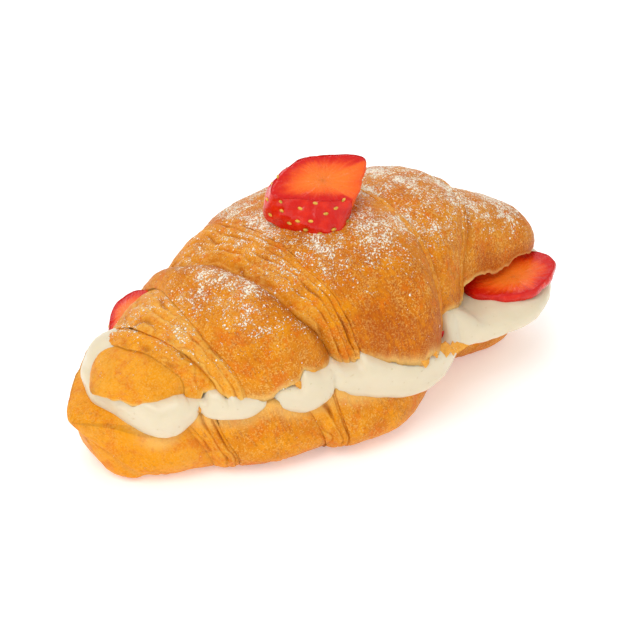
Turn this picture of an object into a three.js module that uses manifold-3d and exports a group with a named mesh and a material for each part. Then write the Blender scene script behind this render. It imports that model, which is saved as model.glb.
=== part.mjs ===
// A croissant split along its length and filled with whipped cream and strawberry slices.
// Millimetres, +Z up. The length runs along X, the open front faces -Y, and the flat underside lies on Z = 0.
import * as THREE from "three";
import { mergeVertices } from "three/addons/utils/BufferGeometryUtils.js";
import Module from "manifold-3d";

// ---- Driving dimensions, in millimetres ----

const LID_ENDS = [-79, 80]; // where the upper half's two tips lie along X
const BASE_ENDS = [-84.5, 81]; // the same for the lower half
const LID_SEAT = 28; // height of the upper half's cut face at its -X tip
const SEAT_RISE = 0.025; // how much higher that face lies per millimetre towards +X
const BASE_TOP = 22; // height of the lower half's cut face
const BASE_TIP_HEIGHT = 18; // height at which the lower half's tips close
const FOOT_TUCK = 1.6; // how far the rounded flank would pass below the flat underside
const TIP_TUCK = 2.6; // how far the foot of the lower half's -X tip draws back under it
const LID_ROUNDING = [12, 13]; // length over which each end of the upper half rounds off to its tip
const BASE_ROUNDING = [14, 15];
const CREAM_ENDS = [-77.2, 84];
const CREAM_ROUNDING = [13, 16];
const CREAM_ROOF = 33.5; // height the cream would reach if no bread lay on it
const CONTACT_GAP = 0.35; // clearance kept between neighbouring solids
const LID_SQUARENESS = 0.85; // 1 gives an elliptical section, less gives a fuller shoulder
const BASE_SQUARENESS = 0.5;

// The upper half's outline from above and from the side: [x, front edge, back edge, height above the cut face].
const LID_OUTLINE = [
  [-79, -13, 1, 7], [-70, -18, 6.5, 9.6], [-60, -21.5, 13, 13.5], [-52, -25, 18.5, 16.2],
  [-45, -31, 23, 18.4], [-36, -33, 27.5, 23], [-22, -33.5, 33, 28.6], [-10, -37, 36.5, 31],
  [0, -40.5, 38, 32], [9, -43, 38.3, 32.2], [15, -41.5, 37.5, 31.3], [21, -36, 36, 30.2],
  [27, -33, 34.5, 30.4], [33, -30, 31.8, 30.1], [40, -27, 29, 29], [50, -23.5, 22.5, 24.6], [58, -22.5, 17, 19.9],
  [68, -20.5, 10, 15], [80, -20.5, 0, 11.5],
];
// The lower half: [x, the rim's front and back edge, the belly's front and back, lower down the flank].
const BASE_OUTLINE = [
  [-84.5, -9, 6, -13, 8], [-77, -13, 11, -16, 14], [-70, -17, 17, -18.8, 19], [-63, -21, 25, -23, 26],
  [-54, -25.5, 29, -26.5, 29.5], [-47, -29, 31.5, -32, 33], [-39, -32.5, 33.5, -36, 35.5],
  [-30, -35, 36, -37.7, 37.5], [-21, -37, 37.5, -40, 39], [-8, -39.5, 38.5, -44.3, 40],
  [2, -40.5, 38, -43.2, 39.5], [8, -40, 37.5, -41, 39], [15, -38, 36.5, -37, 37.5], [24, -32.5, 34, -31, 34.5],
  [32, -28.5, 31.5, -26.2, 31.5], [38, -25, 29.5, -23.5, 29], [47, -23.2, 25.5, -22.6, 25],
  [57, -22, 21.5, -22.2, 21], [66, -19.5, 17, -20, 17], [81, -10, 8, -10, 8],
];
const BELLY_LEVELS = [5, 21]; // heights between which the flank passes from the belly to the rim
// How far the front rim stands above the cut face: [x, rise]. The cream sinks into the low stretch near the tip.
const FRONT_RIM = [[-84.5, -1], [-77, -2], [-70, -5], [-65, -5.6], [-61.5, -3], [-57, 0], [0, 0], [81, 0]];
const RIM_SHARE = 0.2; // the share of the way round the flank over which that rise fades out
// The cream: [x, front edge, back edge, lowest level, highest level along the front].
const CREAM_OUTLINE = [
  [-77.2, -13, 11, 20, 31], [-68, -22.8, 18, 16.5, 31], [-58, -27.5, 23, 17.5, 31], [-47, -32.5, 28, 20.5, 31],
  [-38, -35.5, 32, 19, 31.5], [-28, -38.5, 35, 18.5, 31.5], [-12, -42, 39, 17.5, 31.5], [5, -45, 41, 15, 30.5],
  [18, -43.8, 39, 13.2, 30.5], [27, -41, 37, 16, 30], [33, -40, 35, 17.5, 29], [40, -40.2, 31.5, 18.4, 27.8],
  [50, -39.4, 27, 19, 27.6], [60, -37.3, 22, 19.3, 27.6], [70, -32.5, 16, 19.8, 27.4], [84, -24, 5, 20.5, 27.4],
];
// Where the piped ropes of cream meet, at the front and at the back.
const FRONT_NOTCHES = [-84, -56, -38, -19, 27, 92];
const BACK_NOTCHES = [-84, -46, -10, 31, 92];
const NOTCH_DEPTH = 3.4;
const NOTCH_RISE = 3; // how much shallower the cream is where two ropes meet
// The mound of cream that wells up round the upper half's -X tip.
const MOUND = { at: [-63.8, 2.8, 25.7], reach: [12.4, 11.4, 13] };

// Seams of the rolled dough, where one wrap gives way to the next: [x at the front edge, at the crown, at the
// back edge], with the radial step in millimetres on each side of the seam.
const SEAMS = [
  { at: [-58.5, -67.6, -71], before: -0.4, after: 0.5 },
  { at: [-50, -61.5, -67], before: -0.5, after: 0.6 },
  { at: [-44, -49.8, -49], before: -0.5, after: 0.5 },
  { at: [-17.5, -34.5, -45], before: 0.4, after: -0.8 },
  { at: [-8.5, -19.8, -26], before: 0.5, after: 0.6 },
  { at: [20, 19.8, 17], before: 0.8, after: -0.1 },
  { at: [34.5, 51, 56], before: 0.6, after: -0.9 },
];
const WRAP_SWELL = 1.2; // how far a wide wrap bulges between its seams
const WIDE_WRAP = 25; // a wrap narrower than this bulges less
const BASE_SEAMS = [
  { at: [-58, -47, -42], before: 0.5, after: 0.2 },
  { at: [-50, -40, -34], before: 0.2, after: 0.3 },
  { at: [-25, -16, -10], before: 0.2, after: 0.1 },
  { at: [-17.5, -9, -2], before: 0.1, after: 0.6 },
  { at: [32, 34, 36], before: 0.4, after: -0.4 },
];

const EDGE_BULGE = 0.5; // how far a slice's skin bulges between its faces
const FLARE_DEPTH = 6; // depth below the upper face at which the edge has flared in full
// Strawberry slices. face: the upper cut face's outline as [angle in degrees, reach]; flare: how much further
// the lower cut face reaches, against the same angles.
const FLARE = [[-180, 0.3], [0, 0.3], [180, 0.3]];
const HALF_ROUND = [
  [-180, 10.5], [-135, 11.5], [-90, 13.6], [-45, 11], [0, 10], [45, 11], [90, 13.2], [135, 11.5], [180, 10.5],
];
const SLICES = [
  {
    name: "strawberry_slice_top", at: [-1.05, -4.34, 67.96], tilt: [27.5, 6.8, -18.9], thickness: 11,
    face: [
      [-180, 14.4], [-167, 16.6], [-161, 16.4], [-153, 14.4], [-146, 11.6], [-135, 9.8], [-117, 8.4], [-96, 7.6],
      [-73, 7.8], [-54, 9.2], [-41, 10.6], [-25, 11.1], [0, 12.2], [15, 14.6], [25, 16.5], [31, 16.7], [38, 15.2],
      [45, 13.7], [58, 11.1], [74, 9.8], [90, 9.3], [112, 9.4], [132, 9.8], [149, 10.6], [169, 12.7], [180, 14.4],
    ],
    flare: [
      [-180, 0.6], [-167, 0], [-153, 1.2], [-146, 3.2], [-135, 4.2], [-117, 5.2], [-108, 6.4], [-96, 6.8],
      [-77, 6.9], [-68, 5.8], [-56, 3], [-41, 0.6], [-25, 0], [26, -1], [60, -2], [130, -2], [160, -0.6], [180, 0.6],
    ],
  },
  {
    name: "strawberry_slice_right", at: [60, -25, 28.7], tilt: [-3, -3, 91], thickness: 2.5,
    face: [
      [-180, 9.2], [-149, 9.6], [-127, 11.3], [-107, 14.4], [-94, 17], [-82, 18.3], [-70, 18], [-55, 16.5],
      [-20, 14.5], [30, 14.5], [60, 16], [76, 16.6], [88, 16.2], [98, 15], [111, 12.8], [127, 11.3],
      [148, 9.8], [180, 9.2],
    ],
    flare: FLARE,
  },
  {
    name: "strawberry_slice_left", at: [-54.5, 15.5, 34.5], tilt: [10.1, -39.5, -33.6], thickness: 4.4,
    face: [
      [-180, 6.5], [-165, 7], [-146, 7.6], [-127, 8], [-90, 8], [-45, 8], [0, 8], [25, 8.3], [49, 8],
      [78, 7.8], [96, 7.8], [112, 8.3], [122, 8.2], [142, 7.4], [165, 6.5], [180, 6.5],
    ],
    flare: [[-180, 3.4], [-140, 2], [-90, 1.5], [0, 0.6], [90, 0.8], [140, 2.6], [165, 3.8], [180, 3.4]],
  },
  {
    name: "strawberry_slice_front", at: [18.6, -26.4, 29], tilt: [1.5, -2.4, 58], thickness: 2.4,
    face: HALF_ROUND, flare: FLARE,
  },
  {
    name: "strawberry_slice_middle", at: [-14, -16, 27.8], tilt: [2.7, 0.8, -16.7], thickness: 2.4,
    face: HALF_ROUND, flare: FLARE,
  },
];

// ---- Curves ----

// A smooth curve through rows of [x, a, b, ...], as a function that gives [a, b, ...] at x.
function through(rows) {
  const slopeAt = (i, k) => {
    const a = rows[Math.max(i - 1, 0)];
    const b = rows[Math.min(i + 1, rows.length - 1)];
    return (b[k] - a[k]) / (b[0] - a[0]);
  };
  return (x) => {
    const last = rows.length - 2;
    const found = rows.findIndex((row) => row[0] > x) - 1;
    const i = x <= rows[0][0] ? 0 : found < 0 ? last : Math.min(found, last);
    const span = rows[i + 1][0] - rows[i][0];
    const t = THREE.MathUtils.clamp((x - rows[i][0]) / span, 0, 1);
    const blend = t * t * (3 - 2 * t);
    return rows[i].slice(1).map((value, j) => {
      const k = j + 1;
      const bend = t * (1 - t) * span * ((1 - t) * slopeAt(i, k) - t * slopeAt(i + 1, k));
      return value * (1 - blend) + rows[i + 1][k] * blend + bend;
    });
  };
}

// 1 along the body, falling to 0 at either end as a quarter circle does.
function endRounding(x, [low, high], [atLow, atHigh]) {
  const inward = THREE.MathUtils.clamp(Math.min((x - low) / atLow, (high - x) / atHigh), 0, 1);
  return Math.sqrt(inward * (2 - inward));
}

// The place of a seam at a turn of 0 at the front edge, 1/2 at the crown and 1 at the back edge.
function seamPlace({ at: [front, crown, back] }, turn) {
  return front + (4 * crown - 3 * front - back) * turn + (2 * front - 4 * crown + 2 * back) * turn * turn;
}

// The radial offset of the rolled wraps: each swells between its seams and steps at them.
function wrapOffset(x, turn, seams, [low, high]) {
  const places = [low, ...seams.map((seam) => seamPlace(seam, turn)), high];
  const i = Math.max(places.findIndex((place) => place > x), 1) || places.length - 1;
  const t = THREE.MathUtils.clamp((x - places[i - 1]) / (places[i] - places[i - 1]), 0, 1);
  const start = i > 1 ? seams[i - 2].after : 0;
  const end = i <= seams.length ? seams[i - 1].before : 0;
  const bulge = WRAP_SWELL * Math.sin(Math.PI * t) * Math.min(1, (places[i] - places[i - 1]) / WIDE_WRAP);
  return start * (1 - t) + end * t + bulge;
}

// How far into a rope of cream x is: 0 where two ropes meet, 1 at a rope's middle.
function ropeSwell(x, notches) {
  const i = Math.max(notches.findIndex((notch) => notch > x), 1);
  const t = THREE.MathUtils.clamp((x - notches[i - 1]) / (notches[i] - notches[i - 1]), 0, 1);
  return Math.sqrt(Math.sin(Math.PI * t));
}

// ---- Surfaces ----

// A closed solid from rings of equal count, each listed the same way round, with one point closing each end.
function loft(rings, firstTip, lastTip) {
  const around = rings[0].length;
  const points = [firstTip, ...rings.flat(), lastTip];
  const index = [];
  const at = (ring, k) => 1 + ring * around + (k % around);
  for (let k = 0; k < around; k++) {
    index.push(0, at(0, k + 1), at(0, k));
    index.push(points.length - 1, at(rings.length - 1, k), at(rings.length - 1, k + 1));
    for (let ring = 0; ring + 1 < rings.length; ring++) {
      index.push(at(ring, k), at(ring, k + 1), at(ring + 1, k + 1));
      index.push(at(ring, k), at(ring + 1, k + 1), at(ring + 1, k));
    }
  }
  return new THREE.BufferGeometry().setFromPoints(points).setIndex(index);
}

// Places between two ends, closer together towards both.
function placesAlong([low, high], count) {
  const place = (i) => Math.cos((Math.PI * (i + 0.6)) / (count + 0.2));
  return Array.from({ length: count }, (_, i) => (low + high) / 2 - ((high - low) / 2) * place(i));
}

const signedPower = (value, power) => Math.sign(value) * Math.abs(value) ** power;
const lidOutline = through(LID_OUTLINE);
const baseOutline = through(BASE_OUTLINE);
const frontRim = through(FRONT_RIM);
const creamOutline = through(CREAM_OUTLINE);
const seatHeight = (x) => LID_SEAT + SEAT_RISE * (x - LID_ENDS[0]);

// The upper half of the croissant, swollen by grow on every side.
function lidGeometry(grow = 0, stations = 44, arc = 18, across = 4) {
  const ring = (x) => {
    const [front, back, height] = lidOutline(x);
    const end = endRounding(x, LID_ENDS, LID_ROUNDING);
    const middle = (front + back) / 2;
    const seat = seatHeight(x) - grow;
    const points = [];
    for (let k = 0; k <= arc; k++) {
      const turn = k / arc;
      const swell = wrapOffset(x, turn, SEAMS, LID_ENDS);
      const side = signedPower(Math.cos(Math.PI * turn), LID_SQUARENESS);
      const rise = Math.max(Math.sin(Math.PI * turn), 0) ** LID_SQUARENESS;
      const width = ((back - front) / 2 + swell) * end + grow;
      const lift = (height + swell) * end + 2 * grow;
      points.push(new THREE.Vector3(x, middle - width * side, seat + lift * rise));
    }
    const [first, last] = [points[0], points[arc]];
    for (let k = 1; k < across; k++) points.push(new THREE.Vector3().lerpVectors(last, first, k / across));
    return points.reverse();
  };
  const ends = [LID_ENDS[0] - grow, LID_ENDS[1] + grow];
  const tip = (x) => {
    const [front, back] = lidOutline(x);
    return new THREE.Vector3(x, (front + back) / 2, seatHeight(x) + 0.6 - grow);
  };
  return loft(placesAlong(LID_ENDS, stations).map(ring), tip(ends[0]), tip(ends[1]));
}

// The lower half: a flank that rolls under to a flat foot, closed on top by the cut face.
function baseGeometry(grow = 0, stations = 40, arc = 18, across = 4) {
  const ring = (x) => {
    const [rimFront, rimBack, bellyFront, bellyBack] = baseOutline(x);
    const end = endRounding(x, BASE_ENDS, BASE_ROUNDING);
    const points = [];
    for (let k = 0; k <= arc; k++) {
      const turn = k / arc;
      const swell = wrapOffset(x, turn, BASE_SEAMS, BASE_ENDS);
      const side = signedPower(Math.cos(Math.PI * turn), 0.6);
      const drop = Math.max(Math.sin(Math.PI * turn), 0) ** BASE_SQUARENESS;
      const level = Math.max(BASE_TOP - (BASE_TOP + FOOT_TUCK) * drop, 0);
      const rim = THREE.MathUtils.smoothstep(level, ...BELLY_LEVELS);
      const front = bellyFront + (rimFront - bellyFront) * rim;
      const back = bellyBack + (rimBack - bellyBack) * rim;
      const width = ((back - front) / 2 + swell) * end + grow;
      const rise = frontRim(x)[0] * Math.max(1 - turn / RIM_SHARE, 0) ** 2 * end;
      const height = BASE_TIP_HEIGHT + (level - BASE_TIP_HEIGHT) * end + rise + grow * (1 - 2 * drop);
      const tuck = TIP_TUCK * (1 - THREE.MathUtils.smoothstep(level, 3, 19))
        * (1 - THREE.MathUtils.smoothstep(x, BASE_ENDS[0] + 1.5, BASE_ENDS[0] + 16.5));
      points.push(new THREE.Vector3(x + tuck, (front + back) / 2 - width * side, height));
    }
    const [first, last] = [points[0], points[arc]];
    for (let k = 1; k < across; k++) points.push(new THREE.Vector3().lerpVectors(last, first, k / across));
    return points;
  };
  const tip = (x) => {
    const [front, back] = baseOutline(x);
    return new THREE.Vector3(x, (front + back) / 2, BASE_TIP_HEIGHT);
  };
  return loft(placesAlong(BASE_ENDS, stations).map(ring), tip(BASE_ENDS[0] - grow), tip(BASE_ENDS[1] + grow));
}

// The cream before the bread presses into it: a flattened rope whose flanks swell in lobes.
function creamGeometry(stations = 44, around = 20) {
  const ring = (x) => {
    const [front, back, low, frontHigh] = creamOutline(x);
    const end = endRounding(x, CREAM_ENDS, CREAM_ROUNDING);
    const middle = (front + back) / 2;
    const points = [];
    for (let k = 0; k < around; k++) {
      const turn = (2 * Math.PI * k) / around;
      const facing = Math.cos(turn);
      const rope = ropeSwell(x, facing > 0 ? FRONT_NOTCHES : BACK_NOTCHES);
      const reach = (back - front) / 2 - NOTCH_DEPTH * (1 - rope);
      const side = signedPower(facing, 0.6) * reach * end;
      const high = CREAM_ROOF + (frontHigh - CREAM_ROOF) * THREE.MathUtils.smoothstep(facing, -0.1, 0.5);
      const half = (high - low) / 2 - (NOTCH_RISE / 2) * (1 - rope) * Math.abs(facing);
      const lift = signedPower(Math.sin(turn), 0.8) * half * end;
      points.push(new THREE.Vector3(x, middle - side, (low + high) / 2 + lift));
    }
    return points.reverse();
  };
  const tip = (x) => {
    const [front, back, low, high] = creamOutline(x);
    return new THREE.Vector3(x, (front + back) / 2, (low + high) / 2);
  };
  return loft(placesAlong(CREAM_ENDS, stations).map(ring), tip(CREAM_ENDS[0]), tip(CREAM_ENDS[1]));
}

function moundGeometry() {
  return new THREE.SphereGeometry(1, 20, 12).scale(...MOUND.reach).translate(...MOUND.at);
}

// One slice: two flat cut faces, joined by an edge that bulges a little, swollen by grow.
function sliceGeometry({ thickness, face, flare }, grow = 0, around = 40) {
  const reachOf = through(face);
  const flareOf = through(flare);
  const levels = [[0, 0.5, 0], [0, 1, 0], [0.5, 1, EDGE_BULGE], [1, 1, 0], [1, 0.5, 0]];
  const rings = levels.map(([height, share, bulge]) => Array.from({ length: around }, (_, k) => {
    const degrees = (360 * k) / around - 180;
    const direction = THREE.MathUtils.degToRad(degrees);
    const [reach] = reachOf(degrees);
    const [further] = flareOf(degrees);
    const depth = Math.min(((1 - height) * thickness) / FLARE_DEPTH, 1);
    const out = (reach + further * Math.sin((depth * Math.PI) / 2) + bulge + grow) * share;
    const level = (height - 0.5) * (thickness + 2 * grow);
    return new THREE.Vector3(Math.cos(direction) * out, Math.sin(direction) * out, level);
  }));
  const half = thickness / 2 + grow;
  return loft(rings, new THREE.Vector3(0, 0, -half), new THREE.Vector3(0, 0, half));
}

// ---- Joining and cutting ----

const wasm = await Module();
wasm.setup();

// A mesh's geometry, in the croissant's own frame, as a solid that can be cut.
function solidOf(mesh) {
  mesh.updateMatrixWorld(true);
  const bare = mesh.geometry.clone().applyMatrix4(mesh.matrixWorld);
  for (const name of Object.keys(bare.attributes)) if (name !== "position") bare.deleteAttribute(name);
  const merged = mergeVertices(bare, 1e-4);
  return new wasm.Manifold(new wasm.Mesh({
    numProp: 3,
    vertProperties: new Float32Array(merged.attributes.position.array),
    triVerts: new Uint32Array(merged.index.array),
  }));
}

// The largest body of a solid, as a geometry.
function geometryOf(solid) {
  const body = solid.decompose().sort((a, b) => b.volume() - a.volume())[0];
  const { vertProperties, triVerts } = body.getMesh();
  return new THREE.BufferGeometry()
    .setAttribute("position", new THREE.BufferAttribute(new Float32Array(vertProperties), 3))
    .setIndex(new THREE.BufferAttribute(new Uint32Array(triVerts), 1));
}

// ---- Materials ----

const crust = new THREE.MeshStandardMaterial({ color: 0xd98a3d, roughness: 0.55, metalness: 0 });
const whippedCream = new THREE.MeshStandardMaterial({ color: 0xf1e6cc, roughness: 0.6, metalness: 0 });
const berryFlesh = new THREE.MeshStandardMaterial({ color: 0xe2371f, roughness: 0.25, metalness: 0 });

function named(name, geometry, material) {
  const mesh = new THREE.Mesh(geometry, material);
  mesh.name = name;
  return mesh;
}

// ---- Assembly ----

const lid = named("croissant_upper_half", lidGeometry(), crust);
const base = named("croissant_lower_half", baseGeometry(), crust);
const grownBread = solidOf(new THREE.Mesh(lidGeometry(CONTACT_GAP)))
  .add(solidOf(new THREE.Mesh(baseGeometry(CONTACT_GAP))));

function placed(slice, geometry) {
  const mesh = named(slice.name, geometry, berryFlesh);
  mesh.position.set(...slice.at);
  mesh.rotation.set(...slice.tilt.map(THREE.MathUtils.degToRad), "ZYX");
  return mesh;
}

// A slice keeps clear of the bread, and the cream keeps clear of bread and slices alike.
const slices = SLICES.map((slice) => named(
  slice.name, geometryOf(solidOf(placed(slice, sliceGeometry(slice))).subtract(grownBread)), berryFlesh));
const pipedCream = solidOf(new THREE.Mesh(creamGeometry())).add(solidOf(new THREE.Mesh(moundGeometry())));
const creamSolid = SLICES.reduce(
  (cream, slice) => cream.subtract(solidOf(placed(slice, sliceGeometry(slice, CONTACT_GAP)))),
  pipedCream.subtract(grownBread));
const cream = named("whipped_cream", geometryOf(creamSolid), whippedCream);

const croissant = new THREE.Group();
croissant.add(base, cream, ...slices, lid);

// The frame's origin is the middle of the underside.
const box = new THREE.Box3().setFromObject(croissant);
const middle = box.getCenter(new THREE.Vector3());
croissant.position.set(-middle.x, -middle.y, -box.min.z);

export default croissant;
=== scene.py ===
"""A split croissant, filled with whipped cream and strawberry slices and dusted with powdered sugar."""
import itertools
import logging
import math
from dataclasses import dataclass
from enum import Enum

import bpy
import numpy as np
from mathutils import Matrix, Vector


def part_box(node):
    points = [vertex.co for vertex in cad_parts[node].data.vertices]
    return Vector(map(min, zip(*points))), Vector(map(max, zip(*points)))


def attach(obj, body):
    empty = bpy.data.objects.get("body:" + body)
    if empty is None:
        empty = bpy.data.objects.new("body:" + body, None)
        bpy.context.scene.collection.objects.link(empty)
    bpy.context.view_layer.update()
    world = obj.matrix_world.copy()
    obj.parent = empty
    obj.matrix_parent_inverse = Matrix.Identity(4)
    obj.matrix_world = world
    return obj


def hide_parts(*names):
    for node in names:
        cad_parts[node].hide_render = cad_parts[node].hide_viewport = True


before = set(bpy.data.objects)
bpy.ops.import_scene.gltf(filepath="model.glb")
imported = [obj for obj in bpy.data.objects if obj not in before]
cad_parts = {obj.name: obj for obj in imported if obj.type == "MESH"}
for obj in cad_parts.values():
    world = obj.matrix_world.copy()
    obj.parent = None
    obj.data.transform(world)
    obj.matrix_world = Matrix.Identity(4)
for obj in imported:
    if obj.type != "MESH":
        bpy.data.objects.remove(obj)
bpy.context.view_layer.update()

# Lengths are millimetres on the croissant's own axes, +X to the blunter tip, -Y out of the open front, +Z up.
MM = 0.001
LOG = logging.getLogger("croissant")
Array = np.ndarray
Colour = tuple[float, float, float]


def tone(red: int, green: int, blue: int) -> Colour:
    """Turn a display colour, 0 to 255, into the linear one that shaders take.

    Args:
        red: The display red.
        green: The display green.
        blue: The display blue.

    Returns:
        The linear colour.
    """
    shares = [part / 255 for part in (red, green, blue)]
    return tuple(s / 12.92 if s <= 0.04045 else ((s + 0.055) / 1.055) ** 2.4 for s in shares)


def signed_power(value: Array, power: float) -> Array:
    """Raise the size of each value to a power and keep its sign."""
    return np.sign(value) * np.abs(value) ** power


def smooth_step(value: Array, low: float, high: float) -> Array:
    """Rise from 0 at low to 1 at high along t * t * (3 - 2 t)."""
    share = np.clip((value - low) / (high - low), 0, 1)
    return share * share * (3 - 2 * share)


def grid_normals(points: Array) -> Array:
    """Find the unit normals of a grid of points as the cross product of its two tangents.

    Args:
        points: Points, rows by columns by 3.

    Returns:
        The unit normals, in the same layout.
    """
    across = np.cross(np.gradient(points, axis=0), np.gradient(points, axis=1))
    return across / np.maximum(np.linalg.norm(across, axis=-1, keepdims=True), 1e-9)


class Grain:
    """Smooth random fields over space, from one seeded lattice of directions."""

    def __init__(self, seed: int, cells: int = 48) -> None:
        """Fill the lattice.

        Args:
            seed: The seed of the lattice.
            cells: How many cells it has before it repeats.
        """
        ways = np.random.default_rng(seed).normal(size=(cells, cells, cells, 3))
        self.cells = cells
        self.ways = ways / np.linalg.norm(ways, axis=-1, keepdims=True)

    def smooth(self, points: Array, cell: float) -> Array:
        """Blend, between a cell's eight corners, each corner's direction times the way to the point.

        Args:
            points: Points, any layout by 3.
            cell: The size of a cell, in millimetres.

        Returns:
            Values of about -1 to 1.
        """
        place = points / cell + 0.37
        corner = np.floor(place).astype(np.int64)
        part = place - corner
        fade = part**3 * (part * (part * 6 - 15) + 10)
        total = np.zeros(points.shape[:-1])
        for step in itertools.product((0, 1), repeat=3):
            x, y, z = np.moveaxis((corner + step) % self.cells, -1, 0)
            weight = np.prod(np.where(np.array(step) == 1, fade, 1 - fade), axis=-1)
            total += weight * np.sum(self.ways[x, y, z] * (part - step), axis=-1)
        return total * 1.7

    def layered(self, points: Array, cell: float, octaves: int = 3) -> Array:
        """Add fields of halving cell and height."""
        return sum(self.smooth(points + 31.7 * k, cell / 2**k) / 2**k for k in range(octaves))


@dataclass(frozen=True)
class Outline:
    """A smooth curve through rows of numbers, the first of which is x."""

    rows: tuple[tuple[float, ...], ...]

    def at(self, x: Array) -> Array:
        """Join the rows by cubic pieces whose slope at a row is that between its neighbours.

        Args:
            x: Where to read the curve.

        Returns:
            One array like x for each further number in a row.
        """
        table = np.array(self.rows)
        knots = table[:, 0]
        before = np.maximum(np.arange(len(table)) - 1, 0)
        after = np.minimum(np.arange(len(table)) + 1, len(table) - 1)
        slopes = (table[after] - table[before]) / (knots[after] - knots[before])[:, None]
        i = np.clip(np.searchsorted(knots, x, "right") - 1, 0, len(table) - 2)
        span = knots[i + 1] - knots[i]
        t = np.clip((x - knots[i]) / span, 0, 1)[..., None]
        blend = t * t * (3 - 2 * t)
        bend = t * (1 - t) * span[..., None] * ((1 - t) * slopes[i] - t * slopes[i + 1])
        value = table[i] * (1 - blend) + table[i + 1] * blend + bend
        return np.moveaxis(value[..., 1:], -1, 0)


def end_rounding(x: Array, ends: tuple[float, float], lengths: tuple[float, float]) -> Array:
    """Fall from 1 along the body to 0 at either end, as a quarter circle does.

    Args:
        x: Places along the body.
        ends: Where the body's two tips lie.
        lengths: Over which length each end rounds off.

    Returns:
        The share of the full section at each place.
    """
    inward = np.minimum((x - ends[0]) / lengths[0], (ends[1] - x) / lengths[1])
    inward = np.clip(inward, 0, 1)
    return np.sqrt(inward * (2 - inward))


@dataclass(frozen=True)
class Place:
    """Where the croissant's own axes lie in the model."""

    along: float
    across: float

    # The upper half's foremost tip and its most forward point, on the croissant's own axes.
    LID_TIP = -79.0
    LID_FRONT = -44.845

    @classmethod
    def of_upper_half(cls) -> "Place":
        """Measure the shift from the upper half's solid."""
        low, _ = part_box("croissant_upper_half")
        return cls(low.x / MM - cls.LID_TIP, low.y / MM - cls.LID_FRONT)

    def metres(self, points: Array) -> Array:
        """Turn millimetres on the croissant's axes into metres in the model."""
        return (points + np.array([self.along, self.across, 0.0])) * MM


PLACE = Place.of_upper_half()


def solid_volume(points: Array, faces: Array) -> float:
    """Add the signed volumes of the tetrahedra from the origin to each triangle of each face."""
    a = points[faces[:, 0]]
    sides = [(points[faces[:, k]], points[faces[:, k + 1]]) for k in range(1, faces.shape[1] - 1)]
    return float(sum(np.sum(a * np.cross(b, c)) for b, c in sides))


def write_piece(
    name: str, points: Array, faces: list[Array], marks: dict[str, Array], dress: bpy.types.Material
) -> bpy.types.Object:
    """Make one object from arrays, at the origin, with its faces pointing out.

    Args:
        name: The piece's name.
        points: Vertices in millimetres, count by 3.
        faces: Arrays of faces, one array for each count of corners.
        marks: Values for each vertex that materials read.
        dress: The material.

    Returns:
        The object.
    """
    points = PLACE.metres(points)
    middle = points - points.mean(axis=0)
    if sum(solid_volume(middle, part) for part in faces) < 0:
        faces = [part[:, ::-1] for part in faces]
    mesh = bpy.data.meshes.new(name)
    mesh.from_pydata(points.tolist(), [], [face for part in faces for face in part.tolist()])
    mesh.polygons.foreach_set("use_smooth", np.ones(len(mesh.polygons), bool))
    for mark, values in marks.items():
        kind = "FLOAT_VECTOR" if values.ndim == 2 else "FLOAT"
        layer = mesh.attributes.new(mark, kind, "POINT")
        layer.data.foreach_set("vector" if values.ndim == 2 else "value", values.astype(np.float32).ravel())
    mesh.materials.append(dress)
    mesh.validate()
    mesh.update()
    piece = bpy.data.objects.new(name, mesh)
    bpy.context.scene.collection.objects.link(piece)
    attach(piece, "root")
    LOG.info("%s: %d vertices, %d faces", name, len(points), len(mesh.polygons))
    return piece


def loft(rings: Array, tips: tuple[Array, Array], marks: dict[str, Array]) -> tuple[Array, list[Array], dict]:
    """Join rings of points, each closed on itself, into a closed skin with one point at each end.

    Args:
        rings: Rings by points by 3.
        tips: The point that closes each end.
        marks: Values for each ring point, which a tip takes from its ring's mean.

    Returns:
        The vertices, the faces and the values for each vertex.
    """
    count, around = rings.shape[:2]
    number = np.arange(count * around).reshape(count, around)
    beside = np.roll(number, -1, axis=1)
    quads = np.stack([number[:-1], beside[:-1], beside[1:], number[1:]], axis=-1).reshape(-1, 4)
    first, last = count * around, count * around + 1
    head = np.stack([np.full(around, first), beside[0], number[0]], axis=-1)
    tail = np.stack([np.full(around, last), number[-1], beside[-1]], axis=-1)
    points = np.concatenate([rings.reshape(-1, 3), tips[0][None], tips[1][None]])
    flat = {}
    for name, value in marks.items():
        body = value.reshape(count * around, *value.shape[2:])
        flat[name] = np.concatenate([body, value[:1].mean(axis=1), value[-1:].mean(axis=1)])
    return points, [quads, np.concatenate([head, tail])], flat


# ---- Shader language ----


class Value:
    """A number in a material, which takes part in Python sums."""

    def __init__(self, recipe: "Recipe", socket: bpy.types.NodeSocket) -> None:
        """Wrap a socket."""
        self.recipe = recipe
        self.socket = socket

    def _sum(self, operation: str, *terms: "Value | float") -> "Value":
        """Add one Math node."""
        inputs = dict(enumerate(terms))
        return self.recipe.node("ShaderNodeMath", {"operation": operation}, inputs)

    def __add__(self, other: "Value | float") -> "Value":
        """Give self + other."""
        return self._sum("ADD", self, other)

    __radd__ = __add__

    def __sub__(self, other: "Value | float") -> "Value":
        """Give self - other."""
        return self._sum("SUBTRACT", self, other)

    def __rsub__(self, other: "Value | float") -> "Value":
        """Give other - self."""
        return self._sum("SUBTRACT", other, self)

    def __mul__(self, other: "Value | float") -> "Value":
        """Give self * other."""
        return self._sum("MULTIPLY", self, other)

    __rmul__ = __mul__

    def most(self, other: "Value | float") -> "Value":
        """Give the larger of the two."""
        return self._sum("MAXIMUM", self, other)

    def rise(self, low: "Value | float", high: "Value | float") -> "Value":
        """Rise smoothly from 0 at low to 1 at high."""
        settings = {"interpolation_type": "SMOOTHSTEP"}
        inputs = {"Value": self, "From Min": low, "From Max": high}
        return self.recipe.node("ShaderNodeMapRange", settings, inputs)


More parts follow.
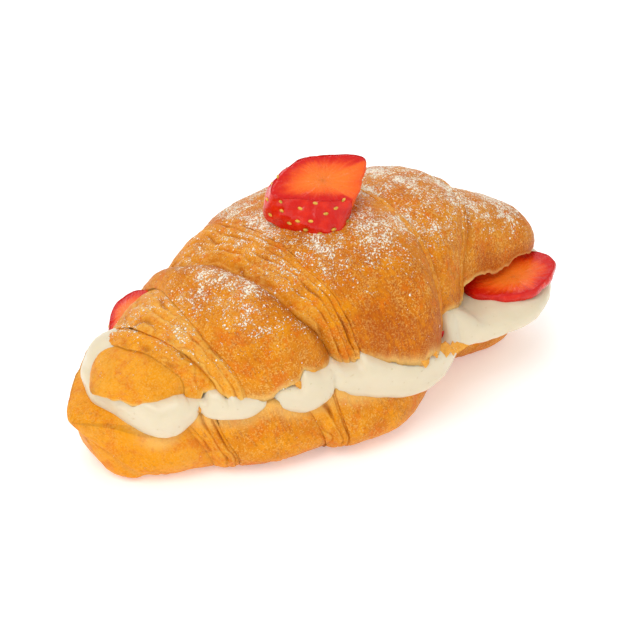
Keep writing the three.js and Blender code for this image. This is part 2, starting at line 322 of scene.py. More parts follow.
class Recipe:
    """A material's nodes, written one call to a node."""

    def __init__(self, name: str) -> None:
        """Start an empty material."""
        self.material = bpy.data.materials.new(name)
        self.material.use_nodes = True
        self.tree = self.material.node_tree
        self.tree.nodes.clear()
        self._place: bpy.types.NodeSocket | None = None

    def raw(self, kind: str, settings: dict, inputs: dict) -> bpy.types.Node:
        """Add any node: its settings first, then its sockets.

        Args:
            kind: The node's type.
            settings: The node's own settings.
            inputs: Values, sockets or wrapped numbers, by socket name or number.

        Returns:
            The node.
        """
        node = self.tree.nodes.new(kind)
        for name, value in settings.items():
            setattr(node, name, value)
        for name, value in inputs.items():
            if isinstance(value, Value):
                value = value.socket
            if isinstance(value, bpy.types.NodeSocket):
                self.tree.links.new(value, node.inputs[name])
            elif isinstance(value, tuple) and node.inputs[name].type == "RGBA":
                node.inputs[name].default_value = (*value, 1.0)
            else:
                node.inputs[name].default_value = value
        return node

    def node(self, kind: str, settings: dict, inputs: dict, output: int | str = 0) -> Value:
        """Add any node and take one of its outputs as a number."""
        return Value(self, self.raw(kind, settings, inputs).outputs[output])

    def mark(self, name: str) -> Value:
        """Read a value stored on the mesh."""
        return self.node("ShaderNodeAttribute", {"attribute_name": name}, {}, "Fac")

    def mark_vector(self, name: str) -> bpy.types.NodeSocket:
        """Read a vector stored on the mesh."""
        return self.raw("ShaderNodeAttribute", {"attribute_name": name}, {}).outputs["Vector"]

    def place(self) -> bpy.types.NodeSocket:
        """Give the object coordinates."""
        if self._place is None:
            self._place = self.raw("ShaderNodeTexCoord", {}, {}).outputs["Object"]
        return self._place

    def noise(self, size_mm: float, detail: float = 3.0, rough: float = 0.55, at: object = None) -> Value:
        """Read noise whose features are about size_mm across, 0 to 1.

        Args:
            size_mm: The size of the coarsest features.
            detail: How many finer layers it has.
            rough: How strong the finer layers are.
            at: The coordinates, or the object's own.

        Returns:
            The noise.
        """
        scale = 1 / (size_mm * MM)
        inputs = {"Vector": at or self.place(), "Scale": scale, "Detail": detail, "Roughness": rough}
        return self.node("ShaderNodeTexNoise", {}, inputs)

    def cells(self, size_mm: float, at: object = None) -> Value:
        """Read the distance to the nearest of scattered points about size_mm apart."""
        inputs = {"Vector": at or self.place(), "Scale": 1 / (size_mm * MM)}
        return self.node("ShaderNodeTexVoronoi", {"feature": "SMOOTH_F1"}, inputs, "Distance")

    def blend(self, first: object, second: object, share: "Value | float") -> bpy.types.NodeSocket:
        """Mix two colours: share 0 gives the first and 1 the second."""
        inputs = {0: share, 6: first, 7: second}
        return self.raw("ShaderNodeMix", {"data_type": "RGBA"}, inputs).outputs[2]

    def bump(self, height: Value, depth_mm: float, strength: float = 1.0) -> bpy.types.NodeSocket:
        """Turn a height of 0 to 1 into a bumped normal."""
        inputs = {"Strength": strength, "Distance": depth_mm * MM, "Height": height}
        return self.raw("ShaderNodeBump", {}, inputs).outputs["Normal"]

    def finish(self, inputs: dict) -> bpy.types.Material:
        """Close the material with its shader."""
        shader = self.raw("ShaderNodeBsdfPrincipled", {}, inputs)
        self.raw("ShaderNodeOutputMaterial", {}, {"Surface": shader.outputs[0]})
        return self.material


# ---- Finishes ----


@dataclass(frozen=True)
class SugarTone:
    """Powdered sugar."""

    colour: Colour = tone(255, 246, 226)
    grain: float = 0.35

    def material(self) -> bpy.types.Material:
        """Make the clumps' material: white, matt, and a little grainy."""
        recipe = Recipe("powdered_sugar")
        grain = recipe.noise(self.grain, 2)
        return recipe.finish({
            "Base Color": recipe.blend(tone(246, 236, 220), self.colour, grain.rise(0.35, 0.6)),
            "Roughness": 0.85,
            "Subsurface Weight": 0.25,
            "Subsurface Radius": (1.0, 0.9, 0.8),
            "Subsurface Scale": 0.0006,
            "Normal": recipe.bump(grain, 0.12),
        })


@dataclass(frozen=True)
class CrustTone:
    """Baked, egg-washed dough, from pale at the cut layers to brown on the crowns."""

    name: str
    pale: Colour = tone(240, 190, 92)
    golden: Colour = tone(238, 152, 0)
    amber: Colour = tone(220, 104, 0)
    tan: Colour = tone(208, 120, 12)
    brown: Colour = tone(178, 82, 0)
    # Burnt brown colours the baked spots, and also the painted shade in the creases.
    burnt_and_crease_shade: Colour = tone(146, 60, 0)
    speck: Colour = tone(244, 192, 98)
    crumb: Colour = tone(246, 210, 130)
    sugar: Colour = tone(255, 244, 222)

    def material(self) -> bpy.types.Material:
        """Make the crust: bake and gold pick the colour, dust lays sugar on it, crumb marks the cut face, and
        the crease mark paints shade, partly real browning, into the creases and the splits between layers.
        """
        recipe = Recipe(self.name)
        bake = recipe.mark("bake")
        gold = recipe.mark("gold")
        dust = recipe.mark("dust")
        crumb = recipe.mark("crumb")
        deep = recipe.mark("deep")
        flow = recipe.mark_vector("flow")
        drawn_out = {0: flow, 1: (0.4, 1.0, 1.0)}
        along = recipe.raw("ShaderNodeVectorMath", {"operation": "MULTIPLY"}, drawn_out).outputs[0]
        mottle = recipe.noise(4.5, 4, 0.6)
        fine = recipe.noise(1.1, 3, 0.6)
        streaks = {"Vector": along, "Scale": 1.1, "Detail": 4.0, "Roughness": 0.6}
        streak = recipe.node("ShaderNodeTexNoise", {}, streaks)
        sand = recipe.noise(0.5, 2, 0.6)
        blister = recipe.cells(1.2)
        level = bake + (mottle - 0.5) * 0.8 + (streak - 0.5) * 1.7
        plain = gold * -0.6 + 1.0
        patch = recipe.noise(6.0, 3, 0.55)
        body = recipe.blend(self.tan, self.golden, gold + (patch - 0.5) * 2.2)
        body = recipe.blend(body, self.amber, recipe.noise(5.0, 4, 0.65).rise(0.48, 0.64) * 0.6)
        body = recipe.blend(body, self.brown, level.rise(0.45, 1.15))
        body = recipe.blend(body, self.pale, (level * -1.0).rise(-0.4, 0.3) * plain)
        grit = sand * 0.6 + streak * 0.4 + (mottle - 0.5) * 0.3
        calm = 1 - level.rise(0.5, 1.2) * 0.65
        body = recipe.blend(body, self.speck, grit.rise(0.5, 0.6) * 0.75 * plain * calm)
        spots = (blister * -0.9 + 0.45 + (fine - 0.5) * 0.9).rise(0.12, 0.5)
        body = recipe.blend(body, self.burnt_and_crease_shade, spots * 0.45 * plain)
        # Painted shade, partly real browning: creases and the splits between layers darken towards burnt
        # brown.
        body = recipe.blend(body, self.burnt_and_crease_shade, deep * 0.5)
        body = recipe.blend(body, self.crumb, crumb * 0.85)
        speck = recipe.noise(0.55, 3, 0.65)
        clump = recipe.noise(3.0, 2, 0.5)
        laid = speck + (clump - 0.5) * 0.45 + dust * 0.22
        sugar = laid.rise(0.745, 0.785)
        haze = (dust * 0.6 + clump * 0.5).rise(0.6, 1.05) * recipe.noise(0.4, 2, 0.6).rise(0.42, 0.62) * 0.2
        cover = sugar.most(haze)
        colour = recipe.blend(body, self.sugar, cover)
        shine = (mottle - 0.5) * 0.3 + 0.46 + crumb * 0.3
        rough = shine + sugar * 0.4
        relief = fine * 0.3 + streak * 0.6 + sand * 0.2 - blister * 0.25 + mottle * 0.3 + sugar * 0.4
        return recipe.finish({
            "Base Color": colour,
            "Roughness": rough,
            "Specular IOR Level": 0.13,
            "Coat Weight": 0.02,
            "Coat Roughness": 0.3,
            "Subsurface Weight": 0.05,
            "Subsurface Radius": (1.0, 0.5, 0.2),
            "Subsurface Scale": 0.0015,
            "Normal": recipe.bump(relief, 0.5, 0.9),
        })


@dataclass(frozen=True)
class CreamTone:
    """Whipped cream, glossy where it was pressed out and pocked with small bubbles."""

    light: Colour = tone(228, 214, 184)
    shade: Colour = tone(225, 211, 180)

    def material(self) -> bpy.types.Material:
        """Make the cream: two close whites, a soft depth, and tiny pits painted a darker tan as shade."""
        recipe = Recipe("whipped_cream")
        drift = recipe.noise(9.0, 2)
        bubbles = recipe.cells(1.3)
        pits = 1 - bubbles.rise(0.05, 0.22)
        rare = recipe.noise(2.2, 1).rise(0.55, 0.62)
        fine = recipe.noise(0.7, 2)
        colour = recipe.blend(self.light, self.shade, drift.rise(0.35, 0.7))
        # Painted shade: the bubble pits are coloured a darker tan.
        colour = recipe.blend(colour, tone(206, 180, 130), pits * rare * 0.6)
        height = 1 - pits * rare + fine * 0.25
        return recipe.finish({
            "Base Color": colour,
            "Roughness": 0.34,
            "Subsurface Weight": 0.3,
            "Subsurface Radius": (1.0, 0.75, 0.45),
            "Subsurface Scale": 0.003,
            "Normal": recipe.bump(height, 0.22, 0.6),
        })


@dataclass(frozen=True)
class BerryTone:
    """Strawberry: wet red skin, and orange-red flesh with pale fibres that run out from the core."""

    skin: Colour = tone(210, 18, 2)
    rim: Colour = tone(214, 14, 2)
    flesh: Colour = tone(248, 84, 16)
    core: Colour = tone(250, 122, 32)

    def material(self) -> bpy.types.Material:
        """Make the berry: face marks the cut sides, reach runs from 0 at the core to 1 at the rim."""
        recipe = Recipe("strawberry")
        face = recipe.mark("face")
        reach = recipe.mark("reach")
        spokes = recipe.mark_vector("spokes")
        fibre = recipe.node(
            "ShaderNodeTexNoise", {}, {"Vector": spokes, "Scale": 9.0, "Detail": 3.0, "Roughness": 0.5})
        drift = recipe.noise(4.0, 3)
        depth = reach + (fibre - 0.5) * 0.22 + (drift - 0.5) * 0.4
        meat = recipe.blend(self.core, self.flesh, depth.rise(0.2, 0.8))
        meat = recipe.blend(meat, self.rim, depth.rise(0.54, 0.92))
        skin = recipe.blend(self.skin, tone(234, 46, 10), drift.rise(0.4, 0.75))
        colour = recipe.blend(skin, meat, face)
        wet = recipe.noise(1.4, 3)
        height = fibre * face * 0.5 + wet * 0.5
        return recipe.finish({
            "Base Color": colour,
            "Roughness": wet * 0.3 + 0.1,
            "Specular IOR Level": 0.3,
            "Coat Weight": 0.22,
            "Coat Roughness": 0.06,
            "Subsurface Weight": 0.12,
            "Subsurface Radius": (1.0, 0.2, 0.08),
            "Subsurface Scale": 0.0015,
            "Normal": recipe.bump(height, 0.45, 0.9),
        })


@dataclass(frozen=True)
class SeedTone:
    """The yellow-green seeds on a strawberry's skin."""

    ripe: Colour = tone(233, 178, 62)
    green: Colour = tone(170, 140, 44)

    def material(self) -> bpy.types.Material:
        """Make the seeds' material."""
        recipe = Recipe("strawberry_seed")
        drift = recipe.noise(1.1, 2)
        return recipe.finish({
            "Base Color": recipe.blend(self.ripe, self.green, drift.rise(0.4, 0.7)),
            "Roughness": 0.32,
            "Normal": recipe.bump(drift, 0.08),
        })


@dataclass(frozen=True)
class FloorTone:
    """A plain pale floor."""

    colour: Colour = (0.93, 0.93, 0.93)

    def material(self) -> bpy.types.Material:
        """Make the floor's material."""
        glow = {"Emission Color": (1.0, 1.0, 1.0), "Emission Strength": 0.3}
        return Recipe("pale_floor").finish({"Base Color": self.colour, "Roughness": 0.9, **glow})


# ---- The rolled dough ----


@dataclass(frozen=True)
class Brink:
    """How a wrap of dough meets its seam.

    Attributes:
        level: Its height there above the plain form.
        lip: How far it reaches over its neighbour.
        crease: How deep it dips just short of the seam.
    """

    level: float = 0.0
    lip: float = 0.0
    crease: float = 0.0


@dataclass(frozen=True)
class Wrap:
    """One turn of the rolled dough between two seams.

    Attributes:
        rows: How many rows of vertices lie across it.
        start: How it meets the seam towards -X.
        end: How it meets the seam towards +X.
        swell: How far it puffs up between them.
        layers: How many cut layers of dough show across it, none on a smooth wrap.
        relief: The height of those layers.
        bake: How dark it is baked.
        gold: How golden it is, rather than tan.
        dust: How much sugar lies on it.
    """

    rows: int
    start: Brink
    end: Brink
    swell: float = 0.0
    layers: float = 0.0
    relief: float = 0.4
    bake: float = 0.5
    gold: float = 0.2
    dust: float = 1.0


@dataclass(frozen=True)
class Dough:
    """The wraps of one bread half and the seams between them.

    Attributes:
        ends: Where the two tips lie.
        seams: Where each seam lies, against the turn from 0 at the front edge to 1 at the back.
        wraps: The wraps, one more than the seams.
    """

    ends: tuple[float, float]
    seams: tuple[Outline, ...]
    wraps: tuple[Wrap, ...]
    CREASE_WIDTH = 1.1
    LIP_WIDTH = 0.7
    LIP_EDGE_WIDTH = 0.35
    LIP_EDGE_DROP = 0.45
    CREASE_SHADE_WIDTH = 1.3

    def _seam_places(self, turn: Array) -> Array:
        """Read every seam's places, between the two tips."""
        tips = [np.full_like(turn, end) for end in self.ends]
        return np.array([tips[0], *(seam.at(turn)[0] for seam in self.seams), tips[1]])

    def _shares(self, index: int) -> Array:
        """Space a wrap's rows closer together at its seams, and as a circle's are at a tip."""
        rows = self.wraps[index].rows
        step = (np.arange(rows) + 0.5) / rows
        if index == 0:
            return 1 - np.cos(step * np.pi / 2) * (1 - 0.06 * step)
        if index == len(self.wraps) - 1:
            return np.sin(step * np.pi / 2)
        step = np.arange(rows) / (rows - 1)
        return step - 0.11 * np.sin(2 * np.pi * step)

    def rows(self, turn: Array, grain: Grain) -> dict[str, Array]:
        """Lay out every row of the grid.

        A wrap's level runs straight from its start to its end, plus a swell of 1 - |2u - 1| ** 2.4, less an
        exponential dip at a crease. A lip moves the last rows over the neighbour.

        Args:
            turn: The columns' turns, from 0 at the front edge to 1 at the back edge.
            grain: The random field that lets the layers wander.

        Returns:
            Arrays of rows by columns: x, level, bake, gold, dust, pale and the crease mark, which is painted
                shade in the creases and the
            splits between layers, partly real browning; and flow, a place whose first number runs along the
            wrap and whose second runs across it.
        """
        places = self._seam_places(turn)
        keys = ("x", "level", "bake", "gold", "dust", "pale", "deep", "flow")
        found: dict[str, list[Array]] = {key: [] for key in keys}
        for index, wrap in enumerate(self.wraps):
            share = self._shares(index)[:, None]
            low, high = places[index], places[index + 1]
            width = np.abs(high - low)
            x = low * (1 - share) + high * share
            to_start, to_end = share * width, (1 - share) * width
            lip = wrap.end.lip * np.exp(-to_end / self.LIP_WIDTH)
            lip = lip - wrap.start.lip * np.exp(-to_start / self.LIP_WIDTH)
            level = wrap.start.level * (1 - share) + wrap.end.level * share
            level = level + wrap.swell * (1 - np.abs(2 * share - 1) ** 2.4)
            level = level - wrap.start.crease * np.exp(-to_start / self.CREASE_WIDTH)
            level = level - wrap.end.crease * np.exp(-to_end / self.CREASE_WIDTH)
            level = level - self.LIP_EDGE_DROP * wrap.start.lip * np.exp(-to_start / self.LIP_EDGE_WIDTH)
            level = level - self.LIP_EDGE_DROP * wrap.end.lip * np.exp(-to_end / self.LIP_EDGE_WIDTH)
            shape = np.broadcast_shapes(x.shape, share.shape)
            pale = np.zeros(shape)
            # The crease mark is painted shade in the creases, partly real browning.
            deep = wrap.end.crease * np.exp(-to_end / self.CREASE_SHADE_WIDTH)
            deep = deep + wrap.start.crease * np.exp(-to_start / self.CREASE_SHADE_WIDTH)
            deep = np.broadcast_to(np.minimum(deep, 1.0), shape)
            if wrap.layers:
                girth = np.broadcast_to(turn * 80, shape)
                spot = np.stack([x * 0.55, girth, np.full(shape, 7.0 * index)], axis=-1)
                phase = wrap.layers * share**1.6 + 0.6 * grain.layered(spot, 11.0, 3)
                number = np.floor(phase)
                saw = phase - number
                fade = 0.7 + 0.6 * grain.smooth(spot + 17.3 * number[..., None], 14.0)
                gap = smooth_step(grain.smooth(spot + 31.7 * np.round(phase)[..., None], 8.0), 0.05, 0.6)
                split = np.exp(-((np.minimum(saw, 1 - saw) / (0.07 + 0.1 * gap)) ** 2))
                inner = np.minimum(1, np.minimum(to_start, to_end) / 0.8)
                arch = 0.5 * (saw - 0.5) + 0.35 * np.sin(np.pi * saw)
                level = level + wrap.relief * inner * (fade * arch - (0.45 + 1.1 * gap) * split)
                pale = smooth_step(saw, 0.5, 0.92) * (1 - split) * fade * inner
                # Painted shade, partly real browning, in the splits between layers.
                deep = np.maximum(deep, (0.3 + 0.7 * gap) * split * inner)
            found["x"].append(x + lip)
            found["level"].append(np.broadcast_to(level, shape))
            for key in ("bake", "gold", "dust"):
                found[key].append(np.full(shape, getattr(wrap, key)))
            found["pale"].append(pale)
            found["deep"].append(deep)
            flow = (np.broadcast_to(turn * 110, shape), np.broadcast_to(to_start, shape))
            found["flow"].append(np.stack([*flow, np.full(shape, 23.0 * index)], axis=-1))
        return {key: np.concatenate(parts) for key, parts in found.items()}


@dataclass(frozen=True)
class Skin:
    """A bread half's plain form, laid out as rows of points, and how far the dough rises from it.

    Attributes:
        rows: The wraps' values, as Dough.rows gives them.
        x: Places along the croissant.
        turns: Turns from 0 at the front edge to 1 at the back edge.
        plain: The points of the plain form.
        normals: Its normals, pointing out.
        end: 1, falling to 0 at the tips.
        lift: How far the wraps and the lumps raise the crust.
    """

    rows: dict[str, Array]
    x: Array
    turns: Array
    plain: Array
    normals: Array
    end: Array
    lift: Array


@dataclass(frozen=True)
class BreadHalf:
    """What both halves of the split croissant share."""

    grain: Grain
    outline: Outline
    dough: Dough
    TIP_GAP = 0.02
    TIP_FADE = (6.0, 8.0)

    def plain(self, x: Array, turn: Array) -> Array:
        """Give the smooth form, which each half has of its own."""
        raise NotImplementedError

    def skin(self, turn: Array, level: float) -> Skin:
        """Lay the plain form out.

        Args:
            turn: Turns of the columns.
            level: The height of the half's core, which its normals point away from.

        Returns:
            The skin.
        """
        rows = self.dough.rows(turn, self.grain)
        x = np.clip(rows["x"], self.dough.ends[0] + self.TIP_GAP, self.dough.ends[1] - self.TIP_GAP)
        turns = np.broadcast_to(turn, x.shape)
        plain = self.plain(x, turns)
        normals = grid_normals(plain)
        outward = plain[..., 1:] - np.array([0.0, level])
        normals = normals * np.sign(np.sum(normals[..., 1:] * outward, axis=-1).mean())
        end = end_rounding(x, self.dough.ends, self.TIP_FADE)
        lift = (rows["level"] + self.lumps(plain, rows["flow"])) * end
        return Skin(rows, x, turns, plain, normals, end, lift)

    @staticmethod
    def cut_face(crust: Array, columns: int) -> tuple[Array, Array]:
        """Span the cut between the crust's two edges.

        Args:
            crust: The crust's points.
            columns: How many points lie across the cut.

        Returns:
            Points from the back edge to the front one, and how far each lies from the nearer edge.
        """
        share = np.arange(1, columns + 1) / (columns + 1)
        first, last = crust[:, :1], crust[:, -1:]
        face = last * (1 - share[:, None]) + first * share[:, None]
        return face, np.minimum(share, 1 - share) * np.linalg.norm(first - last, axis=-1)

    @staticmethod
    def edge_crumb(turns: Array, strength: float, width: float) -> Array:
        """Show crumb along both edges, as bells across the turn."""
        front = strength * np.exp(-((turns / width) ** 2))
        return front + strength * np.exp(-(((1 - turns) / width) ** 2))

    @staticmethod
    def carry_on(marks: dict[str, Array], fill: dict, flow: Array, face: Array) -> dict[str, Array]:
        """Carry the crust's marks on over the cut face.

        Args:
            marks: The crust's values.
            fill: The cut face's values, by the same names.
            flow: The crust's places along and across its wraps.
            face: The cut face's points.

        Returns:
            The values for the crust and the face.
        """
        whole = {}
        for key, value in marks.items():
            whole[key] = np.concatenate([value, fill[key] + 0 * face[..., 0]], axis=1)
        whole["flow"] = np.concatenate([flow, face], axis=1)
        return whole

    def tips(self, levels: tuple[float, float]) -> tuple[Array, Array]:
        """Give the points that close the two ends, at the given heights."""
        points = []
        for x, level in zip(self.dough.ends, levels):
            front, back = self.outline.at(np.array(x))[:2]
            points.append(np.array([x, (front + back) / 2, level]))
        return points[0], points[1]

    def lumps(self, points: Array, flow: Array) -> Array:
        """Give the unevenness of hand-rolled dough.

        Args:
            points: Places on the plain form.
            flow: The same places along and across their wraps.

        Returns:
            Broad lumps, dimples, blisters, and wrinkles drawn out along the wraps.
        """
        broad = 0.6 * self.grain.smooth(points, 14.0)
        mid = 0.16 * self.grain.layered(points + 50, 4.6, 2)
        blister = 0.1 * np.abs(self.grain.smooth(points - 20, 1.9))
        wrinkle = self.grain.layered(flow * np.array([0.3, 1.0, 1.0]), 3.2, 3)
        strength = 0.12 + 0.3 * smooth_step(self.grain.smooth(points + 70, 17.0), -0.2, 0.6)
        return broad + mid + blister - strength * np.abs(wrinkle)

    def bake_marks(self, rows: dict[str, Array], points: Array, lift: Array) -> Array:
        """Darken what stands proud and pale the cut layers."""
        patch = 0.22 * self.grain.layered(points + 90, 13.0, 3)
        return rows["bake"] + patch + 0.10 * np.clip(lift, -1.5, 2) - 0.5 * rows["pale"]


@dataclass(frozen=True)
class UpperHalf(BreadHalf):
    """The croissant's top half: the rolled crown over a flat cut face."""

    node: str = "croissant_upper_half"
    rounding: tuple[float, float] = (12.0, 13.0)
    seat: float = 28.0
    seat_rise: float = 0.025
    squareness: float = 0.85
    columns: int = 168
    floor_columns: int = 26
    outline: Outline = Outline((
        (-79, -13, 1, 7), (-70, -18, 6.5, 9.6), (-60, -21.5, 13, 13.5), (-52, -25, 18.5, 16.2),
        (-45, -31, 23, 18.4), (-36, -33, 27.5, 23), (-22, -33.5, 33, 28.6), (-10, -37, 36.5, 31),
        (0, -40.5, 38, 32), (9, -43, 38.3, 32.2), (15, -41.5, 37.5, 31.3), (21, -36, 36, 30.2),
        (27, -33, 34.5, 30.4), (33, -30, 31.8, 30.1), (40, -27, 29, 29), (50, -23.5, 22.5, 24.6),
        (58, -22.5, 17, 19.9), (68, -20.5, 10, 15), (80, -20.5, 0, 11.5),
    ))
    dough: Dough = Dough(
        ends=(-79.0, 80.0),
        seams=(
            Outline(((0, -58.5), (0.08, -58.4), (0.23, -62), (0.36, -64.6), (0.53, -68), (1, -71))),
            Outline(((0, -50), (0.05, -51.5), (0.18, -54.8), (0.36, -59), (0.53, -62), (1, -67))),
            Outline(((0, -44), (0.12, -47), (0.24, -49.6), (0.43, -50.2), (0.53, -49.6), (0.66, -48),
                     (1, -49))),
            Outline(((0, -17.5), (0.09, -20.5), (0.17, -25), (0.26, -28), (0.37, -30.8), (0.5, -34.5),
                     (0.6, -39), (1, -45))),
            Outline(((0, -8.5), (0.17, -12), (0.26, -15.2), (0.34, -17), (0.44, -18.5), (0.55, -20.5),
                     (1, -26))),
            Outline(((0, 19), (0.5, 18.4), (1, 16))),
            Outline(((0, 21.8), (0.5, 21.2), (1, 18.6))),
            Outline(((0, 33), (0.08, 33.6), (0.17, 37.6), (0.26, 41.8), (0.33, 44.8), (0.39, 47), (0.6, 51),
                     (1, 55))),
            Outline(((0, 36.5), (0.08, 37), (0.17, 41), (0.26, 45), (0.33, 48), (0.39, 50), (0.6, 54),
                     (1, 58))),
        ),
        wraps=(
            Wrap(50, Brink(), Brink(-0.1, crease=0.3), 0.7, bake=0.16, gold=1.0, dust=0.25),
            Wrap(44, Brink(0.3, lip=0.1), Brink(crease=0.2), 0.8, 1.3, 0.5, bake=0.2, gold=0.8, dust=0.7),
            Wrap(54, Brink(0.4, lip=0.1), Brink(0.2, crease=0.15), 0.9, 2.3, 0.55,
                 bake=0.1, gold=0.6, dust=0.8),
            Wrap(62, Brink(0.35, lip=0.05), Brink(2.2, crease=3.2), 1.2, bake=0.38, gold=0.35, dust=1.05),
            Wrap(88, Brink(-0.8, crease=0.8), Brink(0.5), 0.5, 4.6, 0.6, bake=0.42, gold=0.4, dust=0.75),
            Wrap(80, Brink(0.6, lip=0.2), Brink(0.7, lip=0.2), 1.0, bake=0.5, gold=0.2),
            Wrap(20, Brink(1.0, lip=0.3), Brink(0.2), 0.2, 1.9, 0.7, bake=0.2, gold=0.45, dust=0.7),
            Wrap(38, Brink(-0.3, crease=0.5), Brink(0.6), 1.1, bake=0.5, gold=0.2, dust=1.1),
            Wrap(18, Brink(0.7), Brink(0.1), 0.1, 2.1, 0.6, bake=0.4, gold=0.3, dust=1.0),
            Wrap(56, Brink(-0.9, crease=1.2), Brink(), 0.9, bake=0.52, gold=0.15, dust=1.15),
        ),
    )
    # How far the torn front edge hangs below the cut face, along x.
    torn_edge: tuple[tuple[float, float], ...] = (
        (-79, 0), (-73.4, 0.9), (-67, 1.2), (-61.8, 0.6), (-59.6, 1.0), (-58.6, 4.4), (-57.2, 2.0),
        (-56.4, 3.0), (-54.8, 3.2), (-53.8, -0.4), (-51.4, -0.6), (-49.5, 1.9), (-48.6, 0.2), (-46.4, 2.4),
        (-39.7, 2.4), (-37.7, 2), (-34.9, 0.7), (-29.7, 1.1), (-28.7, -1.5), (-28, -3.4), (-25.9, -2.1),
        (-22.9, -0.3), (-19.9, -0.5), (-17.9, -1.3), (-15.3, 0.3), (-11.2, 0.6), (-9.2, -2),
        (-6.1, -0.3), (-2.6, 1.4), (1.1, 2.2),
        (5, 4.2), (7, 5.2), (8.6, 5.2), (9.2, 3.2), (11.8, 3.1), (15, 4.5), (18.6, 6.2), (20.4, 3),
        (22, -1.5), (24.9, -3.1), (28.3, -1.8), (31, -0.2), (34, 0.2), (36, -1), (38.6, -3.3), (43, -3.4),
        (47, -2.7), (55.9, -0.7), (63.4, -2.4), (72.8, -0.9), (80, -0.5),
    )

    def seat_height(self, x: Array) -> Array:
        """Give the cut face's height."""
        return self.seat + self.seat_rise * (x - self.dough.ends[0])

    def plain(self, x: Array, turn: Array) -> Array:
        """Give the smooth form: a half superellipse whose ends round off.

        Args:
            x: Places along the croissant.
            turn: Turns from 0 at the front edge to 1 at the back edge.

        Returns:
            The points.
        """
        front, back, height = self.outline.at(x)
        end = end_rounding(x, self.dough.ends, self.rounding)
        side = signed_power(np.cos(np.pi * turn), self.squareness)
        rise = np.maximum(np.sin(np.pi * turn), 0) ** self.squareness
        y = (front + back) / 2 - (back - front) / 2 * end * side
        return np.stack([x, y, self.seat_height(x) + height * end * rise], axis=-1)

    def edge_drop(self, x: Array) -> Array:
        """Give the torn front edge's drop, with small flakes."""
        knots = np.array(self.torn_edge)
        spot = np.stack([x, np.zeros_like(x), np.full_like(x, 3.0)], axis=-1)
        return np.interp(x, knots[:, 0], knots[:, 1]) + 0.9 * self.grain.layered(spot, 2.6, 4)

    def surface(self) -> tuple[Array, Array, dict[str, Array]]:
        """Lay out the crust and the cut face as rings round the croissant.

        The crust is the plain form moved along its normals by the wraps' level and the lumps. Its front edge
        is drawn down by the torn edge, fading as (1 - turn / 0.12) ** 2. The cut face runs from the back edge
        to the front one, hollowed a little.

        Returns:
            The rings, the crust's part of them, and the values for each point.
        """
        skin = self.skin(np.linspace(0, 1, self.columns), self.seat)
        rows, x, turns, end = skin.rows, skin.x, skin.turns, skin.end
        crust = skin.plain + skin.normals * skin.lift[..., None]
        fall = np.clip(1 - turns / 0.12, 0, 1) ** 2
        back_fall = np.clip(1 - (1 - turns) / 0.1, 0, 1) ** 2
        ragged = 0.9 * self.grain.layered(np.stack([x, 0 * x, 0 * x + 40], axis=-1), 5.0, 4)
        crust[..., 2] -= (fall * self.edge_drop(x) + back_fall * ragged) * end
        floor, inward = self.cut_face(crust, self.floor_columns)
        hollow = self.seat_height(floor[..., 0]) + 1.2
        crumbs = 0.5 * self.grain.layered(floor, 3.0, 3)
        near = np.exp(-inward / 2.0)
        floor[..., 2] = floor[..., 2] * near + (hollow + crumbs) * (1 - near)
        rings = np.concatenate([crust, floor], axis=1)
        facing = np.abs(grid_normals(crust)[..., 2])
        # Painted shade: the bake is raised along the lower front edge from x = -20 on, darkening it as the
        # shade under the crown would.
        low_front_shade = (1 - smooth_step(turns, 0.02, 0.2)) * smooth_step(x, -20, 0)
        marks = {
            "bake": self.bake_marks(rows, skin.plain, skin.lift) + 0.3 * low_front_shade,
            "gold": rows["gold"] + 0.25 * self.grain.smooth(skin.plain, 16.0),
            "dust": rows["dust"] * self.dusting(crust, facing),
            "crumb": self.edge_crumb(turns, 0.75, 0.012),
            "deep": rows["deep"],
        }
        fill = {"bake": 0.1, "gold": 0.4, "dust": 0.0, "crumb": 1.0, "deep": 0.0}
        return rings, crust, self.carry_on(marks, fill, rows["flow"], floor)

    def dusting(self, crust: Array, facing: Array) -> Array:
        """Lay sugar where the crust faces up, in drifts."""
        drift = 0.85 + 0.5 * self.grain.smooth(crust, 11.0)
        return np.clip((0.1 + 0.9 * smooth_step(facing, 0.3, 0.98)) * drift, 0, 1.3)

    def build(self, dress: bpy.types.Material) -> Array:
        """Make the piece.

        Args:
            dress: The crust's material.

        Returns:
            The crust's points and dust, rows by columns by 4, for the sugar that lies on it.
        """
        rings, crust, marks = self.surface()
        levels = self.seat_height(np.array(self.dough.ends)) + 0.6
        points, faces, flat = loft(rings, self.tips((levels[0], levels[1])), marks)
        piece = write_piece("croissant_top", points, faces, flat, dress)
        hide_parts(self.node)
        dust = marks["dust"][:, : crust.shape[1]]
        return np.concatenate([crust, dust[..., None]], axis=-1)


